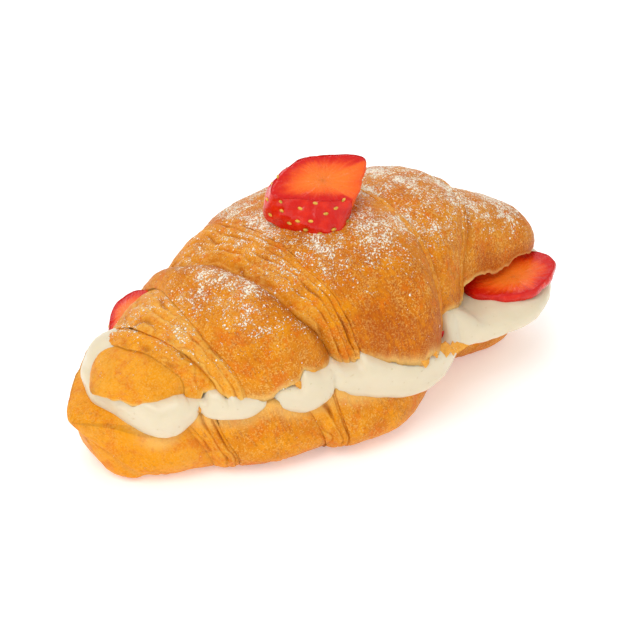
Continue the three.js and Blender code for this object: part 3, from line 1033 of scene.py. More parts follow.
@dataclass(frozen=True)
class LowerHalf(BreadHalf):
    """The croissant's bottom half: flanks that roll under to a flat foot, below a cut face."""

    node: str = "croissant_lower_half"
    rounding: tuple[float, float] = (14.0, 15.0)
    top: float = 22.0
    tip_height: float = 18.0
    foot_tuck: float = 1.6
    tip_tuck: float = 2.6
    columns: int = 150
    face_columns: int = 22
    # x, the rim's front and back edge, and the belly's, lower down the flank.
    outline: Outline = Outline((
        (-84.5, -9, 6, -13, 8), (-77, -13, 11, -16, 14), (-70, -17, 17, -18.8, 19), (-63, -21, 25, -23, 26),
        (-54, -25.5, 29, -26.5, 29.5), (-47, -29, 31.5, -32, 33), (-39, -32.5, 33.5, -36, 35.5),
        (-30, -35, 36, -37.7, 37.5), (-21, -37, 37.5, -40, 39), (-16.5, -38, 38, -43, 39.5),
        (-8, -39.5, 38.5, -44.3, 40), (2, -40.5, 38, -43.2, 39.5), (8, -40, 37.5, -41, 39),
        (15, -38, 36.5, -37, 37.5), (24, -32.5, 34, -31, 34.5), (32, -28.5, 31.5, -26.2, 31.5),
        (38, -25, 29.5, -23.5, 29), (47, -23.2, 25.5, -22.6, 25), (57, -22, 21.5, -22.2, 21),
        (66, -19.5, 17, -20, 17), (81, -10, 8, -10, 8),
    ))
    # How far the front rim stands above the plain cut face, where the cream leaves it bare.
    rim: Outline = Outline((
        (-84.5, -1.0), (-77, -2.0), (-70, -5.0), (-65, -5.6), (-61.5, -3.0), (-60, 0.6), (-57, 1.7),
        (-53, 1.3), (-50, 0.4), (-44, 0.4), (-38, 4.4), (-33, 0.6), (-23, 0.6), (-19, 3.0), (-14, 0.4),
        (0, -0.5), (26, 0.5), (50, 0), (81, 0),
    ))
    dough: Dough = Dough(
        ends=(-84.5, 81.0),
        seams=(
            Outline(((0, -60.5), (0.02, -58), (0.1, -54), (0.2, -51.5), (0.5, -47), (1, -42))),
            Outline(((0, -51.5), (0.02, -50.3), (0.1, -47.5), (0.2, -45.5), (0.5, -40), (1, -34))),
            Outline(((0, -27), (0.02, -25), (0.1, -22.3), (0.2, -20.3), (0.5, -16), (1, -10))),
            Outline(((0, -18.5), (0.02, -17.6), (0.1, -15.8), (0.2, -14.8), (0.5, -9), (1, -2))),
            Outline(((0, 32), (0.5, 34), (1, 36))),
        ),
        wraps=(
            Wrap(76, Brink(), Brink(0.5, crease=0.6), 0.9, bake=0.18, gold=1.0, dust=0.0),
            Wrap(66, Brink(0.2, lip=0.1), Brink(0.2, crease=0.3), 0.3, 2.7, 0.6,
                 bake=0.3, gold=0.8, dust=0.0),
            Wrap(70, Brink(0.3, lip=0.15), Brink(0.2, crease=0.5), 0.9, bake=0.4, gold=0.6, dust=0.1),
            Wrap(60, Brink(0.1, lip=0.15), Brink(0.1, crease=0.6), 0.2, 2.5, 0.75,
                 bake=0.3, gold=0.7, dust=0.05),
            Wrap(82, Brink(0.6, lip=0.4), Brink(0.4, lip=0.3), 0.9, bake=0.42, gold=0.55, dust=0.1),
            Wrap(70, Brink(-0.4, crease=0.6), Brink(), 0.8, bake=0.42, gold=0.3, dust=0.1),
        ),
    )

    def plain(self, x: Array, turn: Array) -> Array:
        """Give the smooth form: a deep superellipse that swells at the belly, cut off flat by the foot."""
        rim_front, rim_back, belly_front, belly_back = self.outline.at(x)
        end = end_rounding(x, self.dough.ends, self.rounding)
        side = signed_power(np.cos(np.pi * turn), 0.6)
        drop = np.maximum(np.sin(np.pi * turn), 0) ** 0.5
        level = np.maximum(self.top - (self.top + self.foot_tuck) * drop, 0)
        rim = smooth_step(level, 5, 21)
        front = belly_front * (1 - rim) + rim_front * rim
        back = belly_back * (1 - rim) + rim_back * rim
        y = (front + back) / 2 - (back - front) / 2 * end * side
        tuck = self.tip_tuck * (1 - smooth_step(level, 3, 19)) * (1 - smooth_step(x, -83, -68))
        return np.stack([x + tuck, y, self.tip_height + (level - self.tip_height) * end], axis=-1)

    def tip_fold(self, x: Array, turn: Array) -> Array:
        """Mark the pale fold that runs down the -X tip, a bell across the turn that fades along x."""
        line = 0.1 + 0.0125 * (x + 81) + 0.006 * np.sin(x * 0.9)
        along = smooth_step(turn, 0.05, 0.11) * (1 - smooth_step(x, -68, -62))
        return np.exp(-(((turn - line) / 0.026) ** 2)) * along

    def build(self, dress: bpy.types.Material) -> None:
        """Make the piece.

        The flank is the plain form moved along its normals, which fades out over the flat foot. The front rim
        is raised where the cream leaves it bare, fading as (1 - turn / 0.2) ** 2.

        Args:
            dress: The crust's material.
        """
        turn = np.linspace(0, 1, self.columns)
        skin = self.skin(turn - 0.045 * np.sin(4 * np.pi * turn), self.tip_height)
        rows, x, turns, plain = skin.rows, skin.x, skin.turns, skin.plain
        off_floor = smooth_step(plain[..., 2], 0.0, 2.5)
        crust = plain + skin.normals * (skin.lift * off_floor)[..., None]
        crust[..., 2] = np.maximum(crust[..., 2], 0)
        crust[..., 2] += self.rim.at(x)[0] * np.clip(1 - turns / 0.2, 0, 1) ** 2 * skin.end
        fold = self.tip_fold(x, turns)
        crust -= skin.normals * (1.3 * fold * off_floor)[..., None]
        face, inward = self.cut_face(crust, self.face_columns)
        blunt = 1 - smooth_step(face[..., 0], -76, -66)
        near = np.exp(-inward / (2.5 + 3.5 * blunt))
        crumbs = 0.4 * self.grain.layered(face, 3.0, 3)
        face_end = end_rounding(face[..., 0], self.dough.ends, self.rounding)
        flat_top = self.tip_height + (self.top - 0.6 - self.tip_height) * face_end
        face[..., 2] = face[..., 2] * near + (flat_top + crumbs * (1 - blunt) + 2.0 * blunt) * (1 - near)
        rings = np.concatenate([crust, face], axis=1)
        facing = np.clip(grid_normals(crust)[..., 2], 0, 1)
        near_foot = 1 - smooth_step(plain[..., 2], 0.0, 7.0)
        marks = {
            "bake": self.bake_marks(rows, plain, skin.lift) + 0.25 * near_foot,
            "gold": rows["gold"] + 0.2 * self.grain.smooth(plain, 16.0),
            "dust": rows["dust"] * facing,
            "crumb": self.edge_crumb(turns, 0.5, 0.014),
            "deep": rows["deep"],
        }
        marks["bake"] = marks["bake"] - 0.9 * fold
        marks["crumb"] = marks["crumb"] * smooth_step(x, -74, -66)
        fill = {"dust": 0, "crumb": 1 - blunt, "deep": 0}
        fill.update(bake=0.1 + 0.2 * blunt, gold=0.4 + 0.5 * blunt)
        marks = self.carry_on(marks, fill, rows["flow"], face)
        points, faces, flat = loft(rings, self.tips((self.tip_height, self.tip_height)), marks)
        piece = write_piece("croissant_bottom", points, faces, flat, dress)
        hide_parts(self.node)


@dataclass(frozen=True)
class TornFlakes:
    """Thin pale flakes of dough that hang from the upper half's torn front edge.

    Each row gives a flake's place along x, its length, its half width and its heading.
    """

    grain: Grain
    rows: tuple[tuple[float, ...], ...] = (
        (-59.4, 4.4, 1.3, -0.1, -1, -0.9), (-57.6, 5.6, 1.4, 0.25, -1, -0.9),
        (-55.6, 4.4, 1.3, -0.2, -1, -0.9), (-50.0, 4.6, 1.5, 0.1, -1, -0.9),
        (-47.6, 3.4, 1.3, 0.5, -1, -0.9), (-44.6, 2.6, 1.4, 0.3, -1, -0.9),
        (-30.4, 3.4, 1.8, 0.5, -0.8, -0.9), (-24.5, 2.4, 1.6, -0.4, -0.8, -0.9),
        (-9.8, 2.6, 1.5, 0.4, -0.8, -0.9), (9.0, 3.2, 1.6, -0.2, -0.6, -1),
        (12.4, 2.8, 1.5, 0.5, -0.6, -1), (15.6, 10.5, 2.6, 1, -0.22, -0.06),
    )
    stations: int = 14
    around: int = 12

    def build(self, edge: Array, dress: bpy.types.Material) -> None:
        """Make every flake as a flattened, tapering tube whose width wanders, joined into one piece.

        Args:
            edge: Points along the torn edge.
            dress: The crust's material.
        """
        table = np.array(self.rows)
        edge = edge[np.argsort(edge[:, 0])]
        beside = [np.interp(table[:, 0], edge[:, 0], edge[:, k]) for k in (1, 2)]
        root = np.stack([table[:, 0], *beside], axis=-1)
        root += np.array([0.0, 1.0, 1.0])
        heading = table[:, 3:6] / np.linalg.norm(table[:, 3:6], axis=-1, keepdims=True)
        side = np.cross(heading, np.array([0.0, -1.0, 0.35]))
        side /= np.linalg.norm(side, axis=-1, keepdims=True)
        face = np.cross(side, heading)
        step = (np.arange(self.stations) + 0.5)[:, None] / self.stations
        spine = root[:, None] + heading[:, None] * (table[:, 1:2] * step.T)[..., None]
        spine += face[:, None] * (0.5 * np.sin(step * np.pi)).T[..., None]
        ragged = 1 + 0.7 * self.grain.layered(spine, 1.7, 3)
        width = table[:, 2:3] * ragged * ((1 - step) ** 0.7).T
        turn = np.linspace(0, 2 * np.pi, self.around, endpoint=False)
        thick = 0.32 * (1 - 0.6 * step.T)
        rings = spine[:, :, None] + side[:, None, None] * (width[..., None] * np.cos(turn))[..., None]
        rings = rings + face[:, None, None] * (thick[..., None] * np.sin(turn))[..., None]
        tips = np.stack([root, root + heading * table[:, 1:2]], axis=1)
        one, parts, _ = loft(rings[0], (tips[0, 0], tips[0, 1]), {})
        body = np.concatenate([rings.reshape(len(table), -1, 3), tips], axis=1).reshape(-1, 3)
        steps = (np.arange(len(table)) * len(one))[:, None, None]
        faces = [(part[None] + steps).reshape(-1, part.shape[-1]) for part in parts]
        level = {"bake": 0.15, "gold": 0.7, "dust": 0.2, "crumb": 0.15, "deep": 0.0}
        marks = {key: np.full(len(body), value) for key, value in level.items()}
        piece = write_piece("torn_flakes", body, faces, {**marks, "flow": body}, dress)


# ---- The filling ----


@dataclass(frozen=True)
class WhippedCream:
    """One body of piped cream that swells out between the halves in lobes."""

    grain: Grain
    lid: UpperHalf
    node: str = "whipped_cream"
    ends: tuple[float, float] = (-77.2, 84.0)
    around: int = 640
    rows: int = 64
    # x, front reach, back reach, lowest level, highest level.
    outline: Outline = Outline((
        (-77.2, -13, 11, 20, 30), (-68, -22.8, 18, 16.5, 29.5), (-58, -27.5, 23, 17.5, 29.5),
        (-47, -32.5, 28, 20.5, 28.5), (-38, -35.5, 32, 19, 30), (-28, -38.5, 35, 18.5, 30.5),
        (-12, -42, 39, 17.5, 30.5), (5, -45, 41, 15, 28.5), (18, -43.8, 39, 13.2, 29.5),
        (27, -41, 37, 16, 30), (33, -40, 35, 17.5, 28.6), (40, -40.2, 31.5, 18.4, 27.6),
        (50, -39.4, 27, 19, 27.4), (60, -37.3, 22, 19.3, 27.4), (70, -32.5, 16, 19.8, 27.4),
        (84, -24, 5, 20.5, 27.4),
    ))
    front_notches: tuple[float, ...] = (-84, -56, -38, -19, 27, 92)
    back_notches: tuple[float, ...] = (-84, -46, -10, 31, 92)
    notch_in: float = 3.4
    notch_up: float = 6.0
    # The mound that wells up round the upper half's -X tip: its middle, and its reach along each axis.
    mound: tuple[float, float, float] = (-63.8, 2.8, 25.7)
    mound_reach: tuple[float, float, float] = (12.4, 11.4, 13.0)

    def _ropes(self, x: Array, notches: tuple[float, ...]) -> Array:
        """Rise from 0 where two lobes meet to 1 at a lobe's middle, as the root of a sine."""
        knots = np.array(notches)
        i = np.clip(np.searchsorted(knots, x, "right") - 1, 0, len(knots) - 2)
        t = np.clip((x - knots[i]) / (knots[i + 1] - knots[i]), 0, 1)
        return np.sin(np.pi * t) ** 0.42

    def build(self, dress: bpy.types.Material) -> None:
        """Make the piece.

        Rings run round the croissant, seen from above. From the top middle a ring spreads out under the upper
        half, swells to its widest as a quarter superellipse, draws in to the lower half's rim as another, and
        closes under. What lies inside the mound's ellipsoid is pushed out to its surface.

        Args:
            dress: The cream's material.
        """
        angle = np.linspace(0, 2 * np.pi, self.around, endpoint=False)
        half = (self.ends[1] - self.ends[0]) / 2
        x = (self.ends[0] + self.ends[1]) / 2 - half * signed_power(np.cos(angle), 0.9)
        at_front = np.sin(angle) > 0
        front, back, low, high = self.outline.at(x)
        end = end_rounding(x, self.ends, (13.0, 16.0))
        rope = np.where(at_front, self._ropes(x, self.front_notches), self._ropes(x, self.back_notches))
        middle = (front + back) / 2
        reach = (np.where(at_front, front, back) - middle) * end
        reach = reach - np.sign(reach) * self.notch_in * (1 - rope) * end
        low = low + self.notch_up * (1 - rope)
        low = np.minimum(low, 26.0)
        inner_x = np.clip(x, -74.5, 77.5)
        lid_front, lid_back, _ = self.lid.outline.at(inner_x)
        lid_end = end_rounding(inner_x, self.lid.dough.ends, self.lid.rounding)
        lid_middle = (lid_front + lid_back) / 2
        rim_y = lid_middle + (np.where(at_front, lid_front, lid_back) - lid_middle) * lid_end * 0.93
        edge = self.lid.seat_height(inner_x) - np.where(at_front, self._drop(inner_x), 0) + 0.9
        open_side = smooth_step(np.sin(angle), -0.45, 0.0) * smooth_step(x, 30, 38)
        top_z = np.maximum(edge, 27.5) * (1 - open_side) + high * open_side
        outer = np.stack([x, middle + reach], axis=-1)
        upper = np.stack([inner_x * 0.985, rim_y], axis=-1)
        lower = np.stack([x * 0.97, middle + reach * 0.86], axis=-1)
        belt = low + (high - low) * 0.46
        centre = np.stack([x * 0.9, middle], axis=-1)
        up = np.linspace(0, 1, self.rows // 2)[:, None]
        down = np.linspace(0, 1, self.rows // 2)[1:, None]
        inside = np.linspace(0.1, 1, 20)[:-1, None]
        roof_xy = centre * (1 - inside[..., None]) + upper * inside[..., None]
        roof_z = top_z + 0 * inside + 0 * x
        swell = np.sin(up * np.pi / 2) ** 0.75
        bulge_xy = upper * (1 - swell[..., None]) + outer * swell[..., None]
        bulge_z = belt + (top_z - belt) * np.cos(up * np.pi / 2) ** 0.8
        draw = np.cos(down * np.pi / 2) ** 0.62
        under_xy = lower * (1 - draw[..., None]) + outer * draw[..., None]
        under_z = belt + (low - belt) * np.sin(down * np.pi / 2) ** 0.85
        base_xy = (centre * (1 - inside[..., None]) + lower * inside[..., None])[::-1]
        base_z = 21.0 + 0 * inside + 0 * x
        xy = np.concatenate([roof_xy, bulge_xy, under_xy, base_xy])
        z = np.concatenate([roof_z, bulge_z, under_z, base_z])
        points = np.concatenate([xy, z[..., None]], axis=-1)
        points = self._well_up(points)
        normals = grid_normals(points)
        outward = points - np.array([0.0, 0.0, 25.0])
        flip = np.sign(np.sum(normals * outward, axis=-1).mean())
        wander = 0.5 * self.grain.layered(points, 11.0, 2) + 0.08 * self.grain.layered(points, 2.5, 2)
        fold = 0.35 * np.abs(self.grain.smooth(points * np.array([0.6, 0.6, 1.6]) + 12, 8.0))
        points = points + normals * flip * (wander + fold)[..., None]
        crown = points[0].mean(axis=0)
        foot = points[-1].mean(axis=0)
        verts, faces, flat = loft(points, (crown, foot), {})
        piece = write_piece("cream_filling", verts, faces, flat, dress)
        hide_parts(self.node)

    def _well_up(self, points: Array) -> Array:
        """Push points out of the mound: a reach r of less than 1 becomes (1 + r ** 12) ** (1 / 12)."""
        away = (points - self.mound) / self.mound_reach
        reach = np.maximum(np.linalg.norm(away, axis=-1, keepdims=True), 0.05)
        upper = smooth_step(points[..., 2:], 22.5, 26.5)
        pushed = self.mound + away / reach * (1 + reach**12) ** (1 / 12) * np.array(self.mound_reach)
        return points * (1 - upper) + pushed * upper

    def _drop(self, x: Array) -> Array:
        """Give the torn edge's drop without its flakes."""
        knots = np.array(self.lid.torn_edge)
        return np.interp(x, knots[:, 0], knots[:, 1])


class Ripeness(Enum):
    """How much of a slice's outer edge carries seeds."""

    SEEDED = 1
    BARE = 0


@dataclass(frozen=True)
class StrawberrySlice:
    """A slab cut from a strawberry: two flat cut faces joined by red, seeded skin or by a straight cut.

    Attributes:
        node: The CAD solid it stands for.
        at: Its middle, in millimetres.
        tilt: Its turns about X, then Y, then Z, in degrees.
        thickness: The distance between the cut faces.
        upper: The upper face's outline, reaches against angles in degrees.
        flare: How much further the lower face reaches, against the same angles.
        cuts: Angles between which the edge is a straight cut, not skin.
        seeds: Whether it has seeds.
    """

    grain: Grain
    node: str
    at: tuple[float, float, float]
    tilt: tuple[float, float, float]
    thickness: float
    upper: Outline
    flare: Outline = Outline(((-180, 0.3), (0, 0.3), (180, 0.3)))
    cuts: tuple[tuple[float, float], ...] = ()
    seeds: Ripeness = Ripeness.SEEDED
    around: int = 300

    def turned(self, points: Array) -> Array:
        """Turn and place the slab: about X, then Y, then Z."""
        rx, ry, rz = np.radians(self.tilt)
        about_x = np.array([[1, 0, 0], [0, np.cos(rx), -np.sin(rx)], [0, np.sin(rx), np.cos(rx)]])
        about_y = np.array([[np.cos(ry), 0, np.sin(ry)], [0, 1, 0], [-np.sin(ry), 0, np.cos(ry)]])
        about_z = np.array([[np.cos(rz), -np.sin(rz), 0], [np.sin(rz), np.cos(rz), 0], [0, 0, 1]])
        return points @ (about_z @ about_y @ about_x).T + np.array(self.at)

    def skin(self, degrees: Array) -> Array:
        """Give 1 where the edge is skin and 0 where it is a straight cut."""
        bare = np.zeros_like(degrees)
        for low, high in self.cuts:
            inside = smooth_step(degrees, low - 4, low + 2) * (1 - smooth_step(degrees, high - 2, high + 4))
            bare = np.maximum(bare, inside)
        return 1 - bare

    def edge(self, degrees: Array, share: Array) -> Array:
        """Find points on the edge between the faces.

        It flares as a quarter sine over the first 6 mm below the upper face, and bulges as a half sine to the
        power of 0.7 between the two.

        Args:
            degrees: Angles round the slab.
            share: The share of the way from the lower face to the upper one.

        Returns:
            The points.
        """
        upper, flare = self.upper.at(degrees)[0], self.flare.at(degrees)[0]
        arch = np.sin(np.pi * np.clip(share, 0, 1)) ** 0.7
        bulge = 0.16 * min(self.thickness, 4) * arch * self.skin(degrees)
        depth = np.clip((1 - share) * self.thickness / 6, 0, 1)
        reach = upper + flare * np.sin(depth * np.pi / 2) + bulge
        angle = np.radians(degrees)
        level = (share - 0.5) * self.thickness
        return np.stack([reach * np.cos(angle), reach * np.sin(angle), level], axis=-1)

    def seed_places(self) -> Array:
        """Spread seeds in staggered rows over the skin, about 3.1 mm apart and a little out of line.

        Returns:
            Angles and shares of the way up, count by 2.
        """
        rng = np.random.default_rng(len(self.node))
        levels = np.arange(1 - 1.1 / self.thickness, 0.1, -3.1 / self.thickness)
        spots = []
        for row, level in enumerate(levels):
            pitch = math.degrees(4.4 / float(self.upper.at(np.array(0.0))[0]))
            angles = np.arange(-178 + (row % 2) * pitch / 2, 178, pitch)
            angles = angles + rng.normal(0, pitch * 0.13, len(angles))
            spots.append(np.stack([angles, level + rng.normal(0, 0.05, len(angles))], axis=-1))
        spots = np.concatenate(spots)
        return spots[self.skin(spots[:, 0]) > 0.9]

    def build(self, dress: bpy.types.Material, seeds: bpy.types.Material) -> None:
        """Make the slice and its seeds.

        Rings run out over the lower face, up the edge, and in over the upper face. The skin dips round each
        seed as a bell curve, and a cut face sinks and rises along its fibres and rounds off at its rim.

        Args:
            dress: The strawberry's material.
            seeds: The seeds' material.
        """
        degrees = np.linspace(-180, 180, self.around, endpoint=False)
        angle = np.radians(degrees)
        out = np.concatenate([np.linspace(0.04, 0.9, 26), np.linspace(0.915, 0.99, 6)])[:, None]
        climb = (0.5 - 0.5 * np.cos(np.linspace(0.05, 0.95, 25) * np.pi))[:, None]
        wall = self.edge(degrees + 0 * climb, climb + 0 * degrees)
        low, high = self.edge(degrees, 0 * degrees), self.edge(degrees, 1 + 0 * degrees)
        flat = np.array([1.0, 1.0, 0.0])
        under = low * (out[..., None] * flat + (1 - flat))
        over = (high * (out[..., None] * flat + (1 - flat)))[::-1]
        points = np.concatenate([under, wall, over])
        count = len(out)
        on_face = np.concatenate([np.ones(count), np.zeros(len(climb)), np.ones(count)])
        on_face = on_face[:, None] + 0 * degrees
        reach = np.concatenate([out, 1 + 0 * climb, out[::-1]]) + 0 * degrees
        skin = (1 - on_face) * self.skin(degrees)
        spots = self.seed_places() if self.seeds is Ripeness.SEEDED else np.zeros((0, 2))
        homes = self.edge(spots[:, 0], spots[:, 1])
        dip = np.zeros(reach.shape)
        for home in homes:
            dip += np.exp(-np.sum((points - home) ** 2, axis=-1) / 0.8**2)
        radial = np.stack([np.cos(angle), np.sin(angle), 0 * angle], axis=-1)
        lump = 0.3 * self.grain.layered(points + 9, 4.5, 3)
        points = points + radial * ((-0.5 * np.minimum(dip, 1.2) + lump) * skin)[..., None]
        points = points + radial * (0.2 * self.grain.layered(points, 2.4, 3) * (1 - skin) * reach)[..., None]
        side = np.sign(points[..., 2]) * on_face
        ways = np.cos(angle) + 0 * reach, np.sin(angle) + 0 * reach
        fibres = np.stack([ways[0] * 7, ways[1] * 7, reach * 2.2], axis=-1)
        relief = 0.16 * self.grain.layered(fibres, 1.6, 3) * smooth_step(reach, 0.2, 0.6)
        relief = relief + 0.3 * self.grain.smooth(points + 40, 7.0) - 0.35 * smooth_step(reach, 0.93, 1.0)
        points[..., 2] += side * relief
        marks = {
            "face": np.maximum(on_face, 1 - self.skin(degrees) + 0 * reach),
            "reach": reach * (0.62 + 0.38 * self.skin(degrees)),
            "spokes": np.stack([*ways, reach * 0.35], axis=-1),
        }
        tips = (np.array([0, 0, -self.thickness / 2]), np.array([0, 0, self.thickness / 2]))
        verts, faces, flat_marks = loft(points, tips, marks)
        name = self.node.replace("strawberry_slice", "berry")
        piece = write_piece(name, self.turned(verts), faces, flat_marks, dress)
        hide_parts(self.node)
        if len(homes):
            self._sow(homes, spots, seeds)

    def _sow(self, homes: Array, spots: Array, dress: bpy.types.Material) -> None:
        """Set a small pointed seed, an ellipsoid of 8 by 6 faces, into the skin at each spot.

        Args:
            homes: The seeds' places on the slab's own axes.
            spots: Their angles and shares of the way up.
            dress: The seeds' material.
        """
        wrap = np.linspace(0, 2 * np.pi, 8, endpoint=False)
        lean = np.linspace(0, np.pi, 7)[1:-1]
        long, turn = np.meshgrid(lean, wrap, indexing="ij")
        ball = np.stack([np.sin(long) * np.cos(turn), np.cos(long), np.sin(long) * np.sin(turn)], axis=-1)
        slope = self.flare.at(spots[:, 0])[0] / self.thickness
        angle = np.radians(spots[:, 0])
        out = np.stack([np.cos(angle), np.sin(angle), slope], axis=-1)
        out /= np.linalg.norm(out, axis=-1, keepdims=True)
        along = np.stack([-np.sin(angle), np.cos(angle), 0.25 + 0 * angle], axis=-1)
        along -= out * np.sum(along * out, axis=-1, keepdims=True)
        along /= np.linalg.norm(along, axis=-1, keepdims=True)
        wide = np.cross(along, out)
        axes = np.stack([wide * 0.5, along * 0.8, out * 0.36], axis=1)
        sunk = homes - out * 0.22
        rings = np.einsum("rck,skj->srcj", ball, axes) + sunk[:, None, None]
        poles = np.stack([sunk + axes[:, 1], sunk - axes[:, 1]], axis=1)
        one, parts, _ = loft(rings[0], (poles[0, 0], poles[0, 1]), {})
        body = np.concatenate([rings.reshape(len(homes), -1, 3), poles], axis=1)
        steps = (np.arange(len(homes)) * len(one))[:, None, None]
        quads = (parts[0][None] + steps).reshape(-1, 4)
        caps = (parts[1][None] + steps).reshape(-1, 3)
        name = self.node.replace("strawberry_slice", "seeds")
        piece = write_piece(name, self.turned(body.reshape(-1, 3)), [quads, caps], {}, dress)


@dataclass(frozen=True)
class PowderedSugar:
    """Small clumps of sugar that lie on the upper half's crust."""

    drifts: int = 2600
    clumps: int = 5200
    seed: int = 11

    def build(self, crust: Array, dress: bpy.types.Material) -> None:
        """Scatter lumpy, flattened clumps of 12 corners each over the crust where its dust is thick.

        Args:
            crust: The crust's points and dust, rows by columns by 4.
            dress: The sugar's material.
        """
        rng = np.random.default_rng(self.seed)
        points, dust = crust[..., :3], crust[..., 3]
        normals = grid_normals(points)
        normals *= np.sign(normals[..., 2].mean())
        cell = np.cross(points[1:, :-1] - points[:-1, :-1], points[:-1, 1:] - points[:-1, :-1])
        area = np.linalg.norm(cell, axis=-1)
        chance = (area * np.clip(dust[:-1, :-1], 0, 1.4) ** 2.4).ravel()
        picks = rng.choice(len(chance), self.drifts, p=chance / chance.sum())
        homes = np.stack(np.divmod(picks, area.shape[1]))
        owner = rng.integers(0, self.drifts, self.clumps)
        reach = rng.uniform(0.15, 1.3, self.drifts)[owner]
        row, column = homes[:, owner]
        steps = [np.gradient(points, axis=k)[row, column] for k in (0, 1)]
        spacing = np.linalg.norm(np.stack(steps), axis=-1)
        wish = homes[:, owner] + rng.uniform(0, 1, owner.size)
        wish = wish + rng.normal(size=(2, owner.size)) * reach / spacing
        spots = self._between(points, wish)
        ups = self._between(normals, wish)
        size = np.clip(rng.lognormal(-1.9, 0.45, self.clumps), 0.06, 0.42)
        self._lumps(spots, ups, size, rng, dress)

    def _between(self, grid: Array, where: Array) -> Array:
        """Read a grid at fractional rows and columns, straight between its corners."""
        limit = np.array(grid.shape[:2])[:, None] - 1.001
        where = np.clip(where, 0, limit)
        row, column = np.floor(where).astype(int)
        down, across = (where - np.floor(where))[..., None]
        near = grid[row, column] * (1 - across) + grid[row, column + 1] * across
        far = grid[row + 1, column] * (1 - across) + grid[row + 1, column + 1] * across
        return near * (1 - down) + far * down

    def _lumps(
        self, spots: Array, ups: Array, size: Array, rng: np.random.Generator, dress: bpy.types.Material
    ) -> None:
        """Join one flattened, crumpled icosahedron for each spot into a piece.

        Args:
            spots: Where the clumps lie.
            ups: The crust's normals there.
            size: The clumps' radii.
            rng: The random numbers that crumple and turn them.
            dress: The sugar's material.
        """
        gold = (1 + math.sqrt(5)) / 2
        corners = np.array([
            (-1, gold, 0), (1, gold, 0), (-1, -gold, 0), (1, -gold, 0), (0, -1, gold), (0, 1, gold),
            (0, -1, -gold), (0, 1, -gold), (gold, 0, -1), (gold, 0, 1), (-gold, 0, -1), (-gold, 0, 1),
        ])
        corners /= np.linalg.norm(corners[0])
        faces = np.array([(0, 11, 5), (0, 5, 1), (0, 1, 7), (0, 7, 10), (0, 10, 11), (1, 5, 9), (5, 11, 4),
                          (11, 10, 2), (10, 7, 6), (7, 1, 8), (3, 9, 4), (3, 4, 2), (3, 2, 6), (3, 6, 8),
                          (3, 8, 9), (4, 9, 5), (2, 4, 11), (6, 2, 10), (8, 6, 7), (9, 8, 1)])
        count = len(spots)
        shape = corners[None] * rng.uniform(0.65, 1.25, (count, 12, 1)) * size[:, None, None]
        tilt = rng.normal(size=(count, 3))
        side = np.cross(ups, tilt)
        side /= np.linalg.norm(side, axis=-1, keepdims=True)
        other = np.cross(ups, side)
        axes = np.stack([side, other, ups * 0.45], axis=1)
        body = np.einsum("nck,nkj->ncj", shape, axes) + (spots + ups * size[:, None] * 0.12)[:, None]
        all_faces = (faces[None] + (np.arange(count) * 12)[:, None, None]).reshape(-1, 3)
        piece = write_piece("sugar_clumps", body.reshape(-1, 3), [all_faces], {}, dress)


# ---- The studio ----


@dataclass(frozen=True)
class Studio:
    """A plain pale floor, soft light and the camera.

    Angles are in degrees, and the camera's distance, target and lens in millimetres; the floor is in metres.
    """

    azimuth: float = -35.0
    elevation: float = 30.0
    distance: float = 430.0
    target: tuple[float, float, float] = (0.0, 0.0, 25.0)
    lens: float = 80.0
    floor_size: float = 8.0
    floor_level: float = -0.0003

    def build(self) -> None:
        """Make the floor, the lights and the camera."""
        self._floor()
        self._sky()
        self._lamp("key_light", (-0.75, -0.35, 1.15), 0.9, 9.0)
        self._lamp("fill_light", (0.7, -1.1, 0.7), 1.2, 2.0)
        self._lamp("back_light", (0.25, 0.9, 0.95), 0.9, 4.0)
        self._camera()

    def _floor(self) -> None:
        """Make the floor, just under the croissant's foot."""
        half = self.floor_size / 2
        signs = [(-1, -1), (1, -1), (1, 1), (-1, 1)]
        corners = [(x * half, y * half, self.floor_level) for x, y in signs]
        mesh = bpy.data.meshes.new("floor")
        mesh.from_pydata(corners, [], [(0, 1, 2, 3)])
        mesh.materials.append(FloorTone().material())
        floor = bpy.data.objects.new("floor", mesh)
        bpy.context.scene.collection.objects.link(floor)

    def _sky(self) -> None:
        """Light everything evenly from a white surround."""
        world = bpy.data.worlds.new("surround")
        world.use_nodes = True
        background = world.node_tree.nodes["Background"]
        background.inputs["Color"].default_value = (1.0, 1.0, 1.0, 1.0)
        background.inputs["Strength"].default_value = 0.6
        bpy.context.scene.world = world
        bpy.context.scene.view_settings.view_transform = "Standard"

    def _lamp(self, name: str, at: tuple[float, float, float], size: float, power: float) -> None:
        """Hang one square soft light that faces the croissant.

        Args:
            name: The light's name.
            at: Its place in metres.
            size: Its side in metres.
            power: Its power in watts.
        """
        light = bpy.data.lights.new(name, "AREA")
        light.size = size
        light.energy = power
        lamp = bpy.data.objects.new(name, light)
        lamp.location = at
        lamp.rotation_euler = (-Vector(at)).to_track_quat("-Z", "Y").to_euler()
        bpy.context.scene.collection.objects.link(lamp)

    def _camera(self) -> None:
        """Set the camera on its arc round the target."""
        a, e = math.radians(self.azimuth), math.radians(self.elevation)
        back = Vector((math.sin(a) * math.cos(e), -math.cos(a) * math.cos(e), math.sin(e)))
        data = bpy.data.cameras.new("camera")
        data.lens = self.lens
        data.sensor_width = 36.0
        data.clip_start = 0.02
        camera = bpy.data.objects.new("camera", data)
        camera.location = Vector(PLACE.metres(np.array(self.target))) + back * self.distance * MM
        camera.rotation_euler = (-back).to_track_quat("-Z", "Y").to_euler()
        bpy.context.scene.collection.objects.link(camera)
        bpy.context.scene.camera = camera


